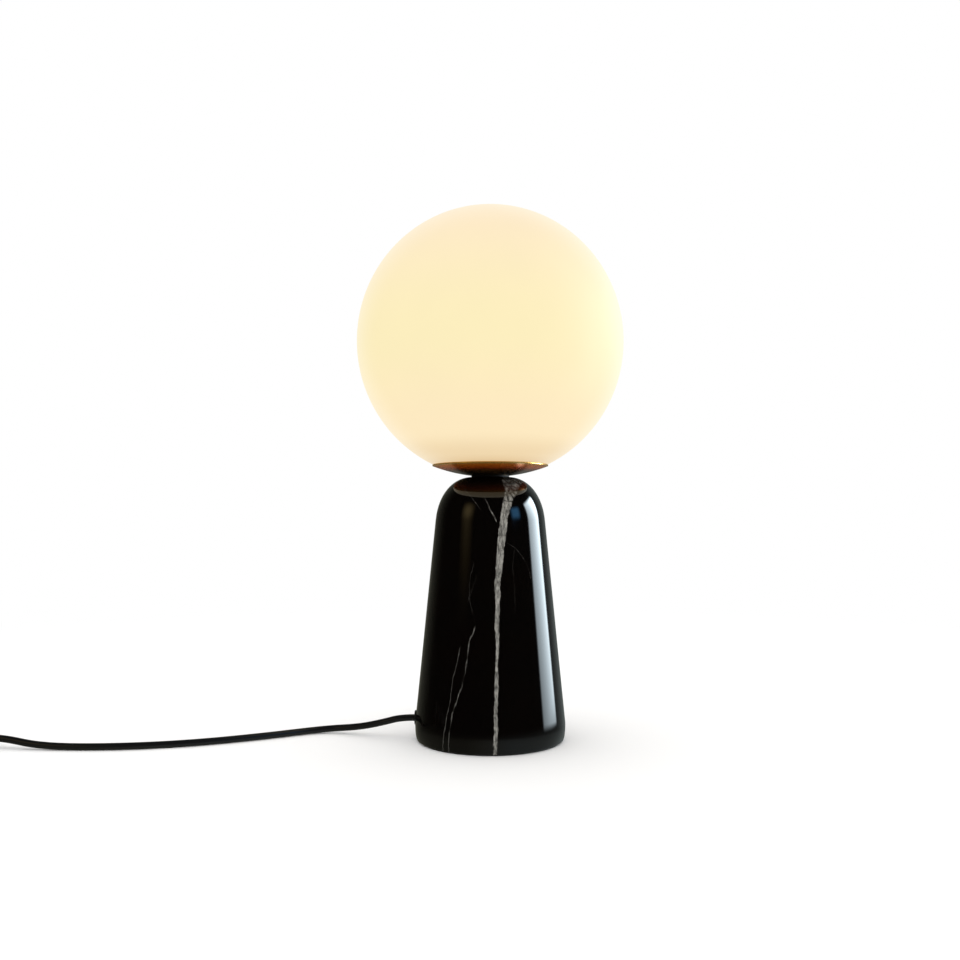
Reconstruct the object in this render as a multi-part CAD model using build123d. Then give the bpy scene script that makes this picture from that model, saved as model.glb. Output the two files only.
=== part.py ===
from build123d import *
import os
from math import cos, pi, radians, sin, sqrt, tan

# Globe table lamp: an opal glass globe in a shallow brass dish, on a tapered marble foot.
# Millimetres, +Z up. The origin is the centre of the foot on the table, the cord leaves along -X.

PAST = 5.0  # a cutter reaches this far past what it cuts

# ---------------------------------------------------------------- marble foot
PAD_RADIUS = 54.8
PAD_THICKNESS = 1.0
FOOT_RADIUS = 55.6  # where the marble meets the pad
FOOT_CURVE_HEIGHT = 12.0  # the wall curves in over this height above the pad
WALL_RADIUS = 57.2  # at the top of that curve, the widest place
SHOULDER_RADIUS = 42.7  # where the straight taper ends
SHOULDER_Z = 153.0
TOP_RADIUS = 13.3  # flat under the spacer
TOP_Z = 198.9
SHOULDER_POWER = 2.25  # 2 is an ellipse, more is squarer
RECESS_RADIUS = 26.0  # for the nut and the cord's bend
RECESS_CEILING_Z = 46.0

# ---------------------------------------------------------------- tube and clamping parts
TUBE_RADIUS = 4.95
TUBE_BORE_RADIUS = 4.0
TUBE_CLEARANCE = 0.3  # between the tube and what slips over it
TUBE_BELOW_NUT = 2.5
NUT_FLATS = 17.0
NUT_HEIGHT = 5.0
LOCK_WASHER_RADIUS = 8.6
LOCK_WASHER_THICKNESS = 1.5
LOCK_WASHER_SLIT = 1.2
LOCK_WASHER_SLIT_ANGLE = 15.0
WASHER_RADIUS = 20.0
WASHER_THICKNESS = 2.0
THIN_NUT_FLATS = 14.0
THIN_NUT_HEIGHT = 4.0
THREAD_GAP = 0.05  # plain cylinders stand for the threads

# ---------------------------------------------------------------- brass dish
SPACER_RADIUS = 14.3
SPACER_THICKNESS = 0.6  # at its thinnest, on the axis
SPACER_GAP = 0.05
DISH_CURVE_RADIUS = 118.5  # outside of the bowl
DISH_RIM_RADIUS = 44.0
DISH_WALL = 1.2
DISH_LIP_HEIGHT = 1.9  # the rim is turned up this far
DISH_LIP_WALL = 0.55
DISH_BOSS_RADIUS = 15.0  # flat inside, for the spring plate and nut

# ---------------------------------------------------------------- globe
GLOBE_RADIUS = 100.0
GLOBE_WALL = 3.0
GLOBE_MOUTH_RADIUS = 32.2  # inner edge of the ground opening
GLOBE_RIM_GAP = 0.3  # glass to the dish's lip
GASKET_INSET = 0.7  # the gasket stays this far inside the ground edge
GASKET_GAP = 0.05  # gasket to the dish
SPRING_GAP = 0.3  # spring leaves to the glass
SPRING_COUNT = 3
SPRING_WIDTH = 8.0
SPRING_THICKNESS = 0.6
SPRING_HUB_RADIUS = 12.5
SPRING_ARM_LIFT = 1.3  # the arms clear the bowl by this
SPRING_REACH = 8.0  # how far the leaves stand up past the ground edge
SPRING_TIP_SET = 2.2  # the leaves' tips lean in
SPRING_ROOT = 2.0  # how far each arm laps the hub
SPRING_ARM_START = 1.0  # past the hub, where the arm starts to rise
SPRING_KNEE_SET = 1.5  # the arm turns up this far inside the leaf
SPRING_TOUCH_RISE = 1.0  # the leaf touches this far above its middle
SPRING_FIRST_ANGLE = 30.0

# ---------------------------------------------------------------- lampholder
HOLDER_NECK_RADIUS = 8.0
HOLDER_NECK_HEIGHT = 3.0
HOLDER_RADIUS = 19.0
HOLDER_DOME_HEIGHT = 10.0
HOLDER_CAP_SKIRT = 5.0
HOLDER_WALL = 1.8
HOLDER_BODY_HEIGHT = 32.0
TUBE_IN_HOLDER = 5.5
BLOCK_RADIUS = 16.6
BLOCK_HEIGHT = 9.0
BLOCK_BORE_RADIUS = 4.6
SHELL_RADIUS = 14.0
SHELL_WALL = 0.4
SHELL_HEIGHT = 22.0
SHELL_FOOT_WIDTH = 3.0
CONTACT_WIDTH = 6.0
CONTACT_THICKNESS = 0.5
CONTACT_LIFT = 2.2
CONTACT_ROOT = 3.5  # flat on the block beside the bore
CONTACT_TOP_START = -2.0
CONTACT_TOP_END = 3.0
SCREW_PITCH_RADIUS = 10.5
SCREW_RADIUS = 1.6
SCREW_HEAD_RADIUS = 2.6
SCREW_HEAD_HEIGHT = 1.6
SCREW_SLOT_WIDTH = 0.7
SCREW_SLOT_DEPTH = 0.6

# ---------------------------------------------------------------- bulb
BULB_RADIUS = 22.5
BULB_LENGTH = 78.0
BULB_CAP_RADIUS = 13.1
BULB_CAP_LENGTH = 19.0
BULB_INSULATOR_HEIGHT = 3.5
BULB_TIP_RADIUS = 4.8
BULB_TIP_HEIGHT = 1.6
BULB_INSULATOR_FOOT = 1.2  # round the tip
BULB_INSULATOR_INSET = 2.0  # inside the cap
BULB_HOUSING_LENGTH = 16.0
BULB_HOUSING_RADIUS = 21.2
BULB_HOUSING_FLOOR = 2.0
BULB_FLARE = 0.18  # slope of the wall where the dome meets the housing
BULB_TO_CONTACT = 0.3
BULB_WALL = 1.5

# ---------------------------------------------------------------- cord and its fittings
CORD_DIAMETER = 5.2
CORD_RADIUS = CORD_DIAMETER / 2
CORD_GAP = 0.2  # cord to the holes that it passes
CORD_HOLE_Z = 16.2
CORD_BEND_RADIUS = 17.0  # inside the foot
GROMMET_RADIUS = 5.7
GROMMET_THICKNESS = 1.9
GROMMET_EDGE = 0.76
GROMMET_SLEEVE_RADIUS = 4.3
GROMMET_SLEEVE_LENGTH = 10.0
GROMMET_FIT = 0.2
SPOT_FACE_DEPTH = 0.7  # flat ground into the wall for the grommet's flange
COLLAR_RADIUS = 6.5  # stops the cord from being pulled out
COLLAR_LENGTH = 8.0
WIRE_RADIUS = 1.1
WIRE_OFFSET = 1.3  # each of the cord's two wires from its axis
CORD_BELOW_BLOCK = 6.0  # the jacket ends here and the two wires go on
WIRE_RISE = 2.0
WIRE_SPREAD = 4.5
WIRE_PAST_SCREW = 1.5
WIRE_BEND_RADIUS = 1.4
CORNER_SHARE = 0.45  # of a route's shorter run that the arc at a corner takes

# ---------------------------------------------------------------- cord switch
SWITCH_LENGTH = 60.0
SWITCH_WIDTH = 24.0
SWITCH_HEIGHT = 16.0
SWITCH_CORD_Z = 7.5  # parting line and cord axis
SWITCH_WALL = 1.6
SWITCH_END_WALL = 7.0
SWITCH_CORNER = 9.0
SWITCH_EDGE = 3.0
SWITCH_LOWER_EDGE = 1.8
ROCKER_LENGTH = 17.0
ROCKER_WIDTH = 9.0
ROCKER_GAP = 0.5
ROCKER_TILT = 7.0  # degrees each side of level
ROCKER_PROUD = 2.2  # the high end above the case
ROCKER_DRAFT = 0.6  # the ends lean in
ROCKER_WEB_LAP = 0.4
PIVOT_RADIUS = 1.2
PIVOT_GAP = 0.05
PIVOT_BELOW_TOP = 4.4
PIVOT_LUG = 1.8
HUB_RADIUS = 2.5
TERMINAL_LENGTH = 9.0
TERMINAL_WIDTH = 4.6
TERMINAL_HEIGHT = 6.2
TERMINAL_PITCH = 26.0
BLADE_THICKNESS = 0.5
BLADE_WIDTH = 3.7
WIRE_DROP = 1.0  # the joined wire lies below the cord's axis
CASE_SCREW_RADIUS = 1.5
CASE_SCREW_HEAD_RADIUS = 2.55
CASE_SCREW_HEAD_INSET = 0.45
CASE_SCREW_HEAD_TOP = 1.5
CASE_SCREW_POCKET_RADIUS = 2.7
CASE_SCREW_REACH = 4.0  # into the upper case
CASE_SCREW_HOLE_REACH = 5.0
CASE_POST_RADIUS = 3.0
CASE_SCREW_PLACE = (21.0, 7.2)

# ---------------------------------------------------------------- plug
PLUG_LENGTH = 35.0
PLUG_WIDTH = 35.0
PLUG_THICKNESS = 13.7
PLUG_NECK_WIDTH = 13.0
PLUG_EDGE = 2.4
PLUG_WAIST = 15.75  # the full width ends this far behind the pins' face
PIN_RADIUS = 2.0
PIN_LENGTH = 19.0
PIN_SPACING = 18.6
PIN_ROOT = 9.0  # moulded into the body
PIN_NECK_RADIUS = 1.4
SLEEVE_RADIUS = 1.8
SLEEVE_LENGTH = 10.0
SLEEVE_GAP = 0.05
BOOT_LENGTH = 24.0
BOOT_RADIUS = 5.2
BOOT_TIP_RADIUS = 3.7

# ---------------------------------------------------------------- the cord's lie on the table
# Points on the cord's axis, chosen by hand. The put-away length is a coil past the visible stretch.
SWITCH_PLACE = (-412.0, -30.0)
COIL_CENTRE = (-442.6, -93.0)
COIL_TURNS = 6.25
COIL_PITCH = 5.8  # a turn to its neighbour, and a layer to the next
COIL_MIDDLE_RADIUS = 31.2
COIL_BOTTOM_Z = 1.2  # the tie passes under it
TIE_THICKNESS = 0.9
TIE_WIDTH = 6.0
TIE_GAP = 0.25
TIE_ANGLE = 20.0
PLUG_CORD_LENGTH = 22.0
PLUG_CORD_BEND_BACK = 3.0  # its step down starts this far before the middle
PLUG_CORD_BEND_ON = 5.0

# ---------------------------------------------------------------- places worked out from the sizes
SPACER_TOP_Z = TOP_Z + SPACER_THICKNESS
DISH_CENTRE_Z = SPACER_TOP_Z + SPACER_GAP + DISH_CURVE_RADIUS
DISH_INNER_CURVE = DISH_CURVE_RADIUS - DISH_WALL


def dish_outside(radius):
    return DISH_CENTRE_Z - sqrt(DISH_CURVE_RADIUS**2 - radius**2)


def dish_inside(radius):
    return DISH_CENTRE_Z - sqrt(DISH_INNER_CURVE**2 - radius**2)


DISH_RIM_Z = dish_outside(DISH_RIM_RADIUS) + DISH_LIP_HEIGHT
DISH_BOSS_Z = dish_inside(DISH_BOSS_RADIUS)
GLOBE_SEAT_RADIUS = DISH_RIM_RADIUS - DISH_LIP_WALL - GLOBE_RIM_GAP
GLOBE_Z = DISH_RIM_Z + sqrt(GLOBE_RADIUS**2 - GLOBE_SEAT_RADIUS**2)
GLOBE_INNER_RADIUS = GLOBE_RADIUS - GLOBE_WALL
GLOBE_CUT_Z = GLOBE_Z - sqrt(GLOBE_INNER_RADIUS**2 - GLOBE_MOUTH_RADIUS**2)
GLOBE_CUT_RADIUS = sqrt(GLOBE_RADIUS**2 - (GLOBE_Z - GLOBE_CUT_Z) ** 2)

TUBE_HOLE_RADIUS = TUBE_RADIUS + TUBE_CLEARANCE
THREAD_RADIUS = TUBE_RADIUS + THREAD_GAP
WASHER_Z = RECESS_CEILING_Z - WASHER_THICKNESS
LOCK_WASHER_Z = WASHER_Z - LOCK_WASHER_THICKNESS
NUT_Z = LOCK_WASHER_Z - NUT_HEIGHT
TUBE_BOTTOM_Z = NUT_Z - TUBE_BELOW_NUT
THIN_NUT_Z = DISH_BOSS_Z + SPRING_THICKNESS
HOLDER_Z = THIN_NUT_Z + THIN_NUT_HEIGHT
TUBE_TOP_Z = HOLDER_Z + TUBE_IN_HOLDER
HOLDER_SKIRT_Z = HOLDER_Z + HOLDER_NECK_HEIGHT + HOLDER_DOME_HEIGHT
HOLDER_BODY_Z = HOLDER_SKIRT_Z + HOLDER_CAP_SKIRT
BLOCK_Z = HOLDER_BODY_Z - BLOCK_HEIGHT / 2
BLOCK_TOP_Z = BLOCK_Z + BLOCK_HEIGHT
CONTACT_TOP_Z = BLOCK_TOP_Z + CONTACT_LIFT + CONTACT_THICKNESS

BULB_Z = CONTACT_TOP_Z + BULB_TO_CONTACT
BULB_INSULATOR_Z = BULB_Z + BULB_TIP_HEIGHT
BULB_CAP_Z = BULB_INSULATOR_Z + BULB_INSULATOR_HEIGHT
BULB_HOUSING_Z = BULB_CAP_Z + BULB_CAP_LENGTH
BULB_DIFFUSER_Z = BULB_HOUSING_Z + BULB_HOUSING_LENGTH
BULB_TOP_Z = BULB_Z + BULB_LENGTH

WALL_TOP_OF_CURVE_Z = PAD_THICKNESS + FOOT_CURVE_HEIGHT


def wall_radius(z):
    """The straight, tapered part of the foot's wall."""
    share = (z - WALL_TOP_OF_CURVE_Z) / (SHOULDER_Z - WALL_TOP_OF_CURVE_Z)
    return WALL_RADIUS + (SHOULDER_RADIUS - WALL_RADIUS) * share


CORD_HOLE_RADIUS = GROMMET_SLEEVE_RADIUS + GROMMET_FIT
SPOT_FACE_X = wall_radius(CORD_HOLE_Z) - SPOT_FACE_DEPTH
GROMMET_FACE_X = SPOT_FACE_X + GROMMET_THICKNESS
CORD_BORE_RADIUS = CORD_RADIUS + CORD_GAP
CORD_TOP_Z = BLOCK_Z - CORD_BELOW_BLOCK
ON_TABLE = CORD_RADIUS

LEAD_ROUTE = [
    (-GROMMET_FACE_X, 0.0, CORD_HOLE_Z),
    (-68.8, 0.0, CORD_HOLE_Z),
    (-82.0, 2.5, 12.2),
    (-102.0, 11.5, 6.4),
    (-131.0, 22.5, ON_TABLE),
    (-172.0, -3.0, ON_TABLE),
    (-222.0, -27.0, ON_TABLE),
    (-275.0, -38.5, ON_TABLE),
    (-328.0, -37.0, ON_TABLE),
    (-360.0, SWITCH_PLACE[1], SWITCH_CORD_Z),
    (SWITCH_PLACE[0] + SWITCH_LENGTH / 2, SWITCH_PLACE[1], SWITCH_CORD_Z),
]

COIL_HALF_SPREAD = COIL_PITCH * (COIL_TURNS / 2) / 2
COIL_OUTER_RADIUS = COIL_MIDDLE_RADIUS + COIL_HALF_SPREAD
COIL_INNER_RADIUS = COIL_MIDDLE_RADIUS - COIL_HALF_SPREAD
COIL_Z = COIL_BOTTOM_Z + CORD_RADIUS
COIL_START_ANGLE = 180.0
COIL_START_X = COIL_CENTRE[0] - COIL_OUTER_RADIUS
SWITCH_END_X = SWITCH_PLACE[0] - SWITCH_LENGTH / 2
COIL_START_Y = COIL_CENTRE[1] + CORD_DIAMETER

SWITCH_CORD_ROUTE = [
    (SWITCH_END_X, SWITCH_PLACE[1], SWITCH_CORD_Z),
    (SWITCH_END_X - 23.0, SWITCH_PLACE[1], SWITCH_CORD_Z),
    (COIL_START_X, SWITCH_PLACE[1] - 17.4, COIL_Z),
    (COIL_START_X, COIL_START_Y, COIL_Z),
]

PLUG_Y = COIL_CENTRE[1] - COIL_OUTER_RADIUS
PLUG_Z = PLUG_THICKNESS / 2
COIL_END_X = COIL_CENTRE[0] + CORD_DIAMETER
COIL_END_Z = COIL_Z + COIL_PITCH
PLUG_BACK_X = COIL_END_X + PLUG_CORD_LENGTH + BOOT_LENGTH
PLUG_FRONT_X = PLUG_BACK_X + PLUG_LENGTH


# ================================================================ helpers
def turned(*edges):
    """A solid turned about Z from a closed section of edges drawn as (radius, height)."""
    return revolve(Plane.XZ * make_face(edges), Axis.Z, 360)


def lathe(*points):
    """A solid turned about Z from a closed section of straight lines."""
    return revolve(Plane.XZ * make_face(Polyline(*points, close=True)), Axis.Z, 360)


def disc(radius, low, high, hole=0.0):
    """A round plate or tube standing between two heights."""
    section = Circle(radius) - Circle(hole) if hole else Circle(radius)
    return extrude(Plane((0, 0, low)) * section, amount=high - low)


def hex_nut(flats, low, high, hole):
    section = RegularPolygon(flats / 2, 6, major_radius=False) - Circle(hole)
    return extrude(Plane((0, 0, low)) * section, amount=high - low)


def block_on(low, length, width, height):
    """A box centred on the axis, standing on a height."""
    return Pos(0, 0, low) * Box(length, width, height, align=(Align.CENTER, Align.CENTER, Align.MIN))


def rod(start, end, radius):
    """A straight round bar between two points."""
    line = Line(start, end)
    return sweep((line ^ 0) * Circle(radius), path=line)


def cord_radii(points):
    """The radius of the arc at each corner of a route."""
    spots = [Vector(*p) for p in points]
    radii = []
    for before, here, after in zip(spots, spots[1:], spots[2:]):
        turn = radians((here - before).get_angle(after - here))
        shorter = min((here - before).length, (after - here).length)
        radii.append(CORNER_SHARE * shorter / tan(turn / 2))
    return radii


def cord_tube(name, points):
    """A round cord along straight runs joined by tangent arcs."""
    radii = cord_radii(points)
    path = FilletPolyline(*points, radius=radii)
    tube = sweep((path ^ 0) * Circle(CORD_RADIUS), path=path)
    share = tube.volume / (pi * CORD_RADIUS**2 * path.length)
    print(f"{name}: length {path.length:.1f}, volume over section times length {share:.4f}, radii",
          " ".join(f"{r:.0f}" for r in radii))
    return tube, path.length


def arc_towards(start, apex, end):
    """The circular arc from start to end whose tangents meet at apex."""
    lean = (end - start).length / 2 / (apex - start).length
    middle = (start + end + apex * (2 * lean)) * (0.5 / (1 + lean))
    return ThreePointArc(start, middle, end)


def biarc(start, leaving, end, arriving):
    """Two arcs that join smoothly, from start along one direction to end along another."""
    chord = end - start
    spread = 2 * (1 - leaving.dot(arriving))
    along = chord.dot(leaving + arriving)
    reach = (sqrt(along**2 + spread * chord.dot(chord)) - along) / spread
    first = start + leaving * reach
    last = end - arriving * reach
    joint = (first + last) * 0.5
    return [arc_towards(start, first, joint), arc_towards(joint, last, end)]


# ================================================================ the foot and what clamps it
def shoulder_point(angle):
    """The dome from the end of the taper (0) to the flat top (90), a superellipse."""
    power = 2 / SHOULDER_POWER
    across = TOP_RADIUS + (SHOULDER_RADIUS - TOP_RADIUS) * cos(radians(angle)) ** power
    up = SHOULDER_Z + (TOP_Z - SHOULDER_Z) * sin(radians(angle)) ** power
    return (across, up)


def foot_curve_point(angle):
    """The quarter ellipse from the pad (0) up to the taper (90)."""
    across = FOOT_RADIUS + (WALL_RADIUS - FOOT_RADIUS) * sin(radians(angle))
    up = PAD_THICKNESS + FOOT_CURVE_HEIGHT * (1 - cos(radians(angle)))
    return (across, up)


def marble_base():
    taper = (SHOULDER_RADIUS - WALL_RADIUS, SHOULDER_Z - WALL_TOP_OF_CURVE_Z)
    foot_curve = Spline([foot_curve_point(a) for a in (0, 30, 60, 90)], tangents=[(1, 0), taper])
    wall = Line((WALL_RADIUS, WALL_TOP_OF_CURVE_Z), (SHOULDER_RADIUS, SHOULDER_Z))
    dome_angles = (0, 15, 30, 45, 60, 75, 90)
    dome = Spline([shoulder_point(a) for a in dome_angles], tangents=[taper, (-1, 0)])
    shell = turned(
        Line((0, PAD_THICKNESS), (FOOT_RADIUS, PAD_THICKNESS)),
        foot_curve,
        wall,
        dome,
        Line((TOP_RADIUS, TOP_Z), (0, TOP_Z)),
        Line((0, TOP_Z), (0, PAD_THICKNESS)),
    )
    recess = disc(RECESS_RADIUS, 0, RECESS_CEILING_Z)
    tube_hole = disc(TUBE_HOLE_RADIUS, 0, TOP_Z + PAST)
    outside = (-WALL_RADIUS - PAST, 0, CORD_HOLE_Z)
    cord_hole = rod(outside, (0, 0, CORD_HOLE_Z), CORD_HOLE_RADIUS)
    spot_face = rod(outside, (-SPOT_FACE_X, 0, CORD_HOLE_Z), GROMMET_RADIUS + GROMMET_FIT)
    return shell - recess - tube_hole - cord_hole - spot_face


def lock_washer():
    ring = disc(LOCK_WASHER_RADIUS, LOCK_WASHER_Z, WASHER_Z, TUBE_HOLE_RADIUS)
    slit = Box(LOCK_WASHER_RADIUS * 2, LOCK_WASHER_SLIT, NUT_HEIGHT)
    return ring - Pos(LOCK_WASHER_RADIUS, 0, LOCK_WASHER_Z) * Rot(0, 0, LOCK_WASHER_SLIT_ANGLE) * slit


def neck_spacer():
    plate = disc(SPACER_RADIUS, TOP_Z, dish_outside(SPACER_RADIUS) + PAST, TUBE_HOLE_RADIUS)
    bowl = Pos(0, 0, DISH_CENTRE_Z) * Sphere(DISH_CURVE_RADIUS + SPACER_GAP)
    return plate - bowl


# ================================================================ dish, springs, gasket and globe
def arc_about(centre_z, radius, start_across, end_across):
    """An arc in the section plane of a sphere centred on the axis, below its centre."""
    middle = (start_across + end_across) / 2
    spots = [(a, centre_z - sqrt(radius**2 - a**2)) for a in (start_across, middle, end_across)]
    return ThreePointArc(*spots)


def brass_dish():
    lip_inside = DISH_RIM_RADIUS - DISH_LIP_WALL
    hole = TUBE_HOLE_RADIUS
    return turned(
        arc_about(DISH_CENTRE_Z, DISH_CURVE_RADIUS, hole, DISH_RIM_RADIUS),
        Line((DISH_RIM_RADIUS, dish_outside(DISH_RIM_RADIUS)), (DISH_RIM_RADIUS, DISH_RIM_Z)),
        Line((DISH_RIM_RADIUS, DISH_RIM_Z), (lip_inside, DISH_RIM_Z)),
        Line((lip_inside, DISH_RIM_Z), (lip_inside, dish_inside(lip_inside))),
        arc_about(DISH_CENTRE_Z, DISH_INNER_CURVE, lip_inside, DISH_BOSS_RADIUS),
        Line((DISH_BOSS_RADIUS, DISH_BOSS_Z), (hole, DISH_BOSS_Z)),
        Line((hole, DISH_BOSS_Z), (hole, dish_outside(hole))),
    )


def globe_springs():
    """A plate under the nut with leaves that stand up inside the globe's opening."""
    hub = disc(SPRING_HUB_RADIUS, DISH_BOSS_Z, THIN_NUT_Z, TUBE_HOLE_RADIUS)
    leaf_face = GLOBE_MOUTH_RADIUS - SPRING_GAP
    bend = leaf_face - SPRING_THICKNESS
    knee_z = dish_inside(bend) + SPRING_ARM_LIFT
    top_z = GLOBE_CUT_Z + SPRING_REACH
    middle_z = (knee_z + top_z) / 2 + SPRING_TOUCH_RISE
    hub_z = DISH_BOSS_Z + SPRING_THICKNESS / 2
    centre_line = Polyline(
        (SPRING_HUB_RADIUS - SPRING_ROOT, hub_z),
        (SPRING_HUB_RADIUS + SPRING_ARM_START, hub_z),
        (bend - SPRING_KNEE_SET, knee_z),
        (leaf_face - SPRING_THICKNESS / 2, middle_z),
        (bend - SPRING_TIP_SET, top_z),
    )
    strip = offset(centre_line, SPRING_THICKNESS / 2, kind=Kind.INTERSECTION, side=Side.BOTH)
    leaf = extrude(Plane.XZ * make_face(strip), amount=SPRING_WIDTH / 2, both=True)
    springs = hub
    for index in range(SPRING_COUNT):
        springs += Rot(0, 0, SPRING_FIRST_ANGLE + 360 / SPRING_COUNT * index) * leaf
    return springs


def globe_gasket():
    inner = GLOBE_MOUTH_RADIUS + GASKET_INSET
    outer = min(GLOBE_CUT_RADIUS, DISH_RIM_RADIUS - DISH_LIP_WALL) - GASKET_INSET
    ring = disc(outer, DISH_BOSS_Z, GLOBE_CUT_Z, inner)
    bowl = Pos(0, 0, DISH_CENTRE_Z) * Sphere(DISH_INNER_CURVE - GASKET_GAP)
    return ring & bowl


def glass_globe():
    outer_top = (0, GLOBE_Z + GLOBE_RADIUS)
    inner_top = (0, GLOBE_Z + GLOBE_INNER_RADIUS)
    return turned(
        ThreePointArc((GLOBE_CUT_RADIUS, GLOBE_CUT_Z), (GLOBE_RADIUS, GLOBE_Z), outer_top),
        Line(outer_top, inner_top),
        ThreePointArc(inner_top, (GLOBE_INNER_RADIUS, GLOBE_Z), (GLOBE_MOUTH_RADIUS, GLOBE_CUT_Z)),
        Line((GLOBE_MOUTH_RADIUS, GLOBE_CUT_Z), (GLOBE_CUT_RADIUS, GLOBE_CUT_Z)),
    )


# ================================================================ lampholder
def lampholder_cap():
    neck_top = HOLDER_Z + HOLDER_NECK_HEIGHT
    outer_low = (HOLDER_NECK_RADIUS, neck_top)
    outer_high = (HOLDER_RADIUS, HOLDER_SKIRT_Z)
    inner_low = (THREAD_RADIUS, neck_top + HOLDER_WALL)
    inner_high = (HOLDER_RADIUS - HOLDER_WALL, HOLDER_SKIRT_Z)
    return turned(
        Line((THREAD_RADIUS, HOLDER_Z), (HOLDER_NECK_RADIUS, HOLDER_Z)),
        Line((HOLDER_NECK_RADIUS, HOLDER_Z), outer_low),
        TangentArc(outer_low, outer_high, tangent=(1, 0)),
        Line(outer_high, (HOLDER_RADIUS, HOLDER_BODY_Z)),
        Line((HOLDER_RADIUS, HOLDER_BODY_Z), (HOLDER_RADIUS - HOLDER_WALL, HOLDER_BODY_Z)),
        Line((HOLDER_RADIUS - HOLDER_WALL, HOLDER_BODY_Z), inner_high),
        TangentArc(inner_low, inner_high, tangent=(1, 0)),
        Line(inner_low, (THREAD_RADIUS, HOLDER_Z)),
    )


def lampholder_body():
    top = HOLDER_BODY_Z + HOLDER_BODY_HEIGHT
    return disc(HOLDER_RADIUS, HOLDER_BODY_Z, top, HOLDER_RADIUS - HOLDER_WALL)


def terminal_places():
    return [(SCREW_PITCH_RADIUS, 0), (-SCREW_PITCH_RADIUS, 0)]


def terminal_block():
    block = disc(BLOCK_RADIUS, BLOCK_Z, BLOCK_TOP_Z, BLOCK_BORE_RADIUS)
    for x, y in terminal_places():
        block -= Pos(x, y) * disc(SCREW_RADIUS + THREAD_GAP, BLOCK_Z, BLOCK_TOP_Z)
    return block


def terminal_screws():
    screws = []
    for x, y in terminal_places():
        head = Pos(x, y) * disc(SCREW_HEAD_RADIUS, BLOCK_Z - SCREW_HEAD_HEIGHT, BLOCK_Z)
        shank = Pos(x, y) * disc(SCREW_RADIUS, BLOCK_Z, BLOCK_TOP_Z)
        slot = Box(SCREW_HEAD_RADIUS * 3, SCREW_SLOT_WIDTH, SCREW_SLOT_DEPTH * 2)
        screws.append(head + shank - Pos(x, y, BLOCK_Z - SCREW_HEAD_HEIGHT) * slot)
    return Compound(children=screws)


def thread_shell():
    wall = disc(SHELL_RADIUS, BLOCK_TOP_Z, BLOCK_TOP_Z + SHELL_HEIGHT, SHELL_RADIUS - SHELL_WALL)
    foot = disc(SHELL_RADIUS, BLOCK_TOP_Z, BLOCK_TOP_Z + SHELL_WALL, SHELL_RADIUS - SHELL_FOOT_WIDTH)
    return wall + foot


def centre_contact():
    """A bent leaf from the block's face up to the bulb's tip."""
    half = CONTACT_THICKNESS / 2
    low = BLOCK_TOP_Z + half
    high = CONTACT_TOP_Z - half
    leaf = Polyline(
        (-BLOCK_BORE_RADIUS - CONTACT_ROOT, low),
        (-BLOCK_BORE_RADIUS, low),
        (CONTACT_TOP_START, high),
        (CONTACT_TOP_END, high),
    )
    strip = offset(leaf, half, kind=Kind.INTERSECTION, side=Side.BOTH)
    return extrude(Plane.XZ * make_face(strip), amount=CONTACT_WIDTH / 2, both=True)


def holder_wire(side):
    """One wire from the cord's end to the head of its terminal screw."""
    start = (WIRE_OFFSET * side, 0, CORD_TOP_Z)
    head_z = BLOCK_Z - SCREW_HEAD_HEIGHT - WIRE_RADIUS
    points = [
        start,
        (WIRE_OFFSET * side, 0, CORD_TOP_Z + WIRE_RISE),
        (WIRE_SPREAD * side, 0, head_z),
        ((SCREW_PITCH_RADIUS + WIRE_PAST_SCREW) * side, 0, head_z),
    ]
    path = FilletPolyline(*points, radius=WIRE_BEND_RADIUS)
    return sweep((path ^ 0) * Circle(WIRE_RADIUS), path=path)


# ================================================================ bulb
def bulb_housing():
    inner = BULB_HOUSING_RADIUS - BULB_WALL
    floor_z = BULB_DIFFUSER_Z - BULB_HOUSING_FLOOR
    low = (BULB_CAP_RADIUS, BULB_HOUSING_Z)
    high = (BULB_HOUSING_RADIUS, BULB_DIFFUSER_Z)
    return turned(
        Line((0, BULB_HOUSING_Z), low),
        TangentArc(high, low, tangent=(-BULB_FLARE, -1)),
        Line(high, (inner, BULB_DIFFUSER_Z)),
        Line((inner, BULB_DIFFUSER_Z), (inner, floor_z)),
        Line((inner, floor_z), (0, floor_z)),
        Line((0, floor_z), (0, BULB_HOUSING_Z)),
    )


def bulb_diffuser():
    """The bulb's frosted dome, open below where it meets the housing."""
    crown_z = BULB_TOP_Z - BULB_RADIUS
    outer_foot = (BULB_HOUSING_RADIUS, BULB_DIFFUSER_Z)
    inner_foot = (BULB_HOUSING_RADIUS - BULB_WALL, BULB_DIFFUSER_Z)
    outer_top = (0, BULB_TOP_Z)
    inner_top = (0, BULB_TOP_Z - BULB_WALL)
    outer_side = (BULB_RADIUS, crown_z)
    inner_side = (BULB_RADIUS - BULB_WALL, crown_z)
    return turned(
        Spline([outer_foot, outer_side, outer_top], tangents=[(BULB_FLARE, 1), (-1, 0)]),
        Line(outer_top, inner_top),
        Spline([inner_top, inner_side, inner_foot], tangents=[(1, 0), (-BULB_FLARE, -1)]),
        Line(inner_foot, outer_foot),
    )


def bulb_insulator():
    return lathe(
        (0, BULB_INSULATOR_Z),
        (BULB_TIP_RADIUS + BULB_INSULATOR_FOOT, BULB_INSULATOR_Z),
        (BULB_CAP_RADIUS - BULB_INSULATOR_INSET, BULB_CAP_Z),
        (0, BULB_CAP_Z),
    )


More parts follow.
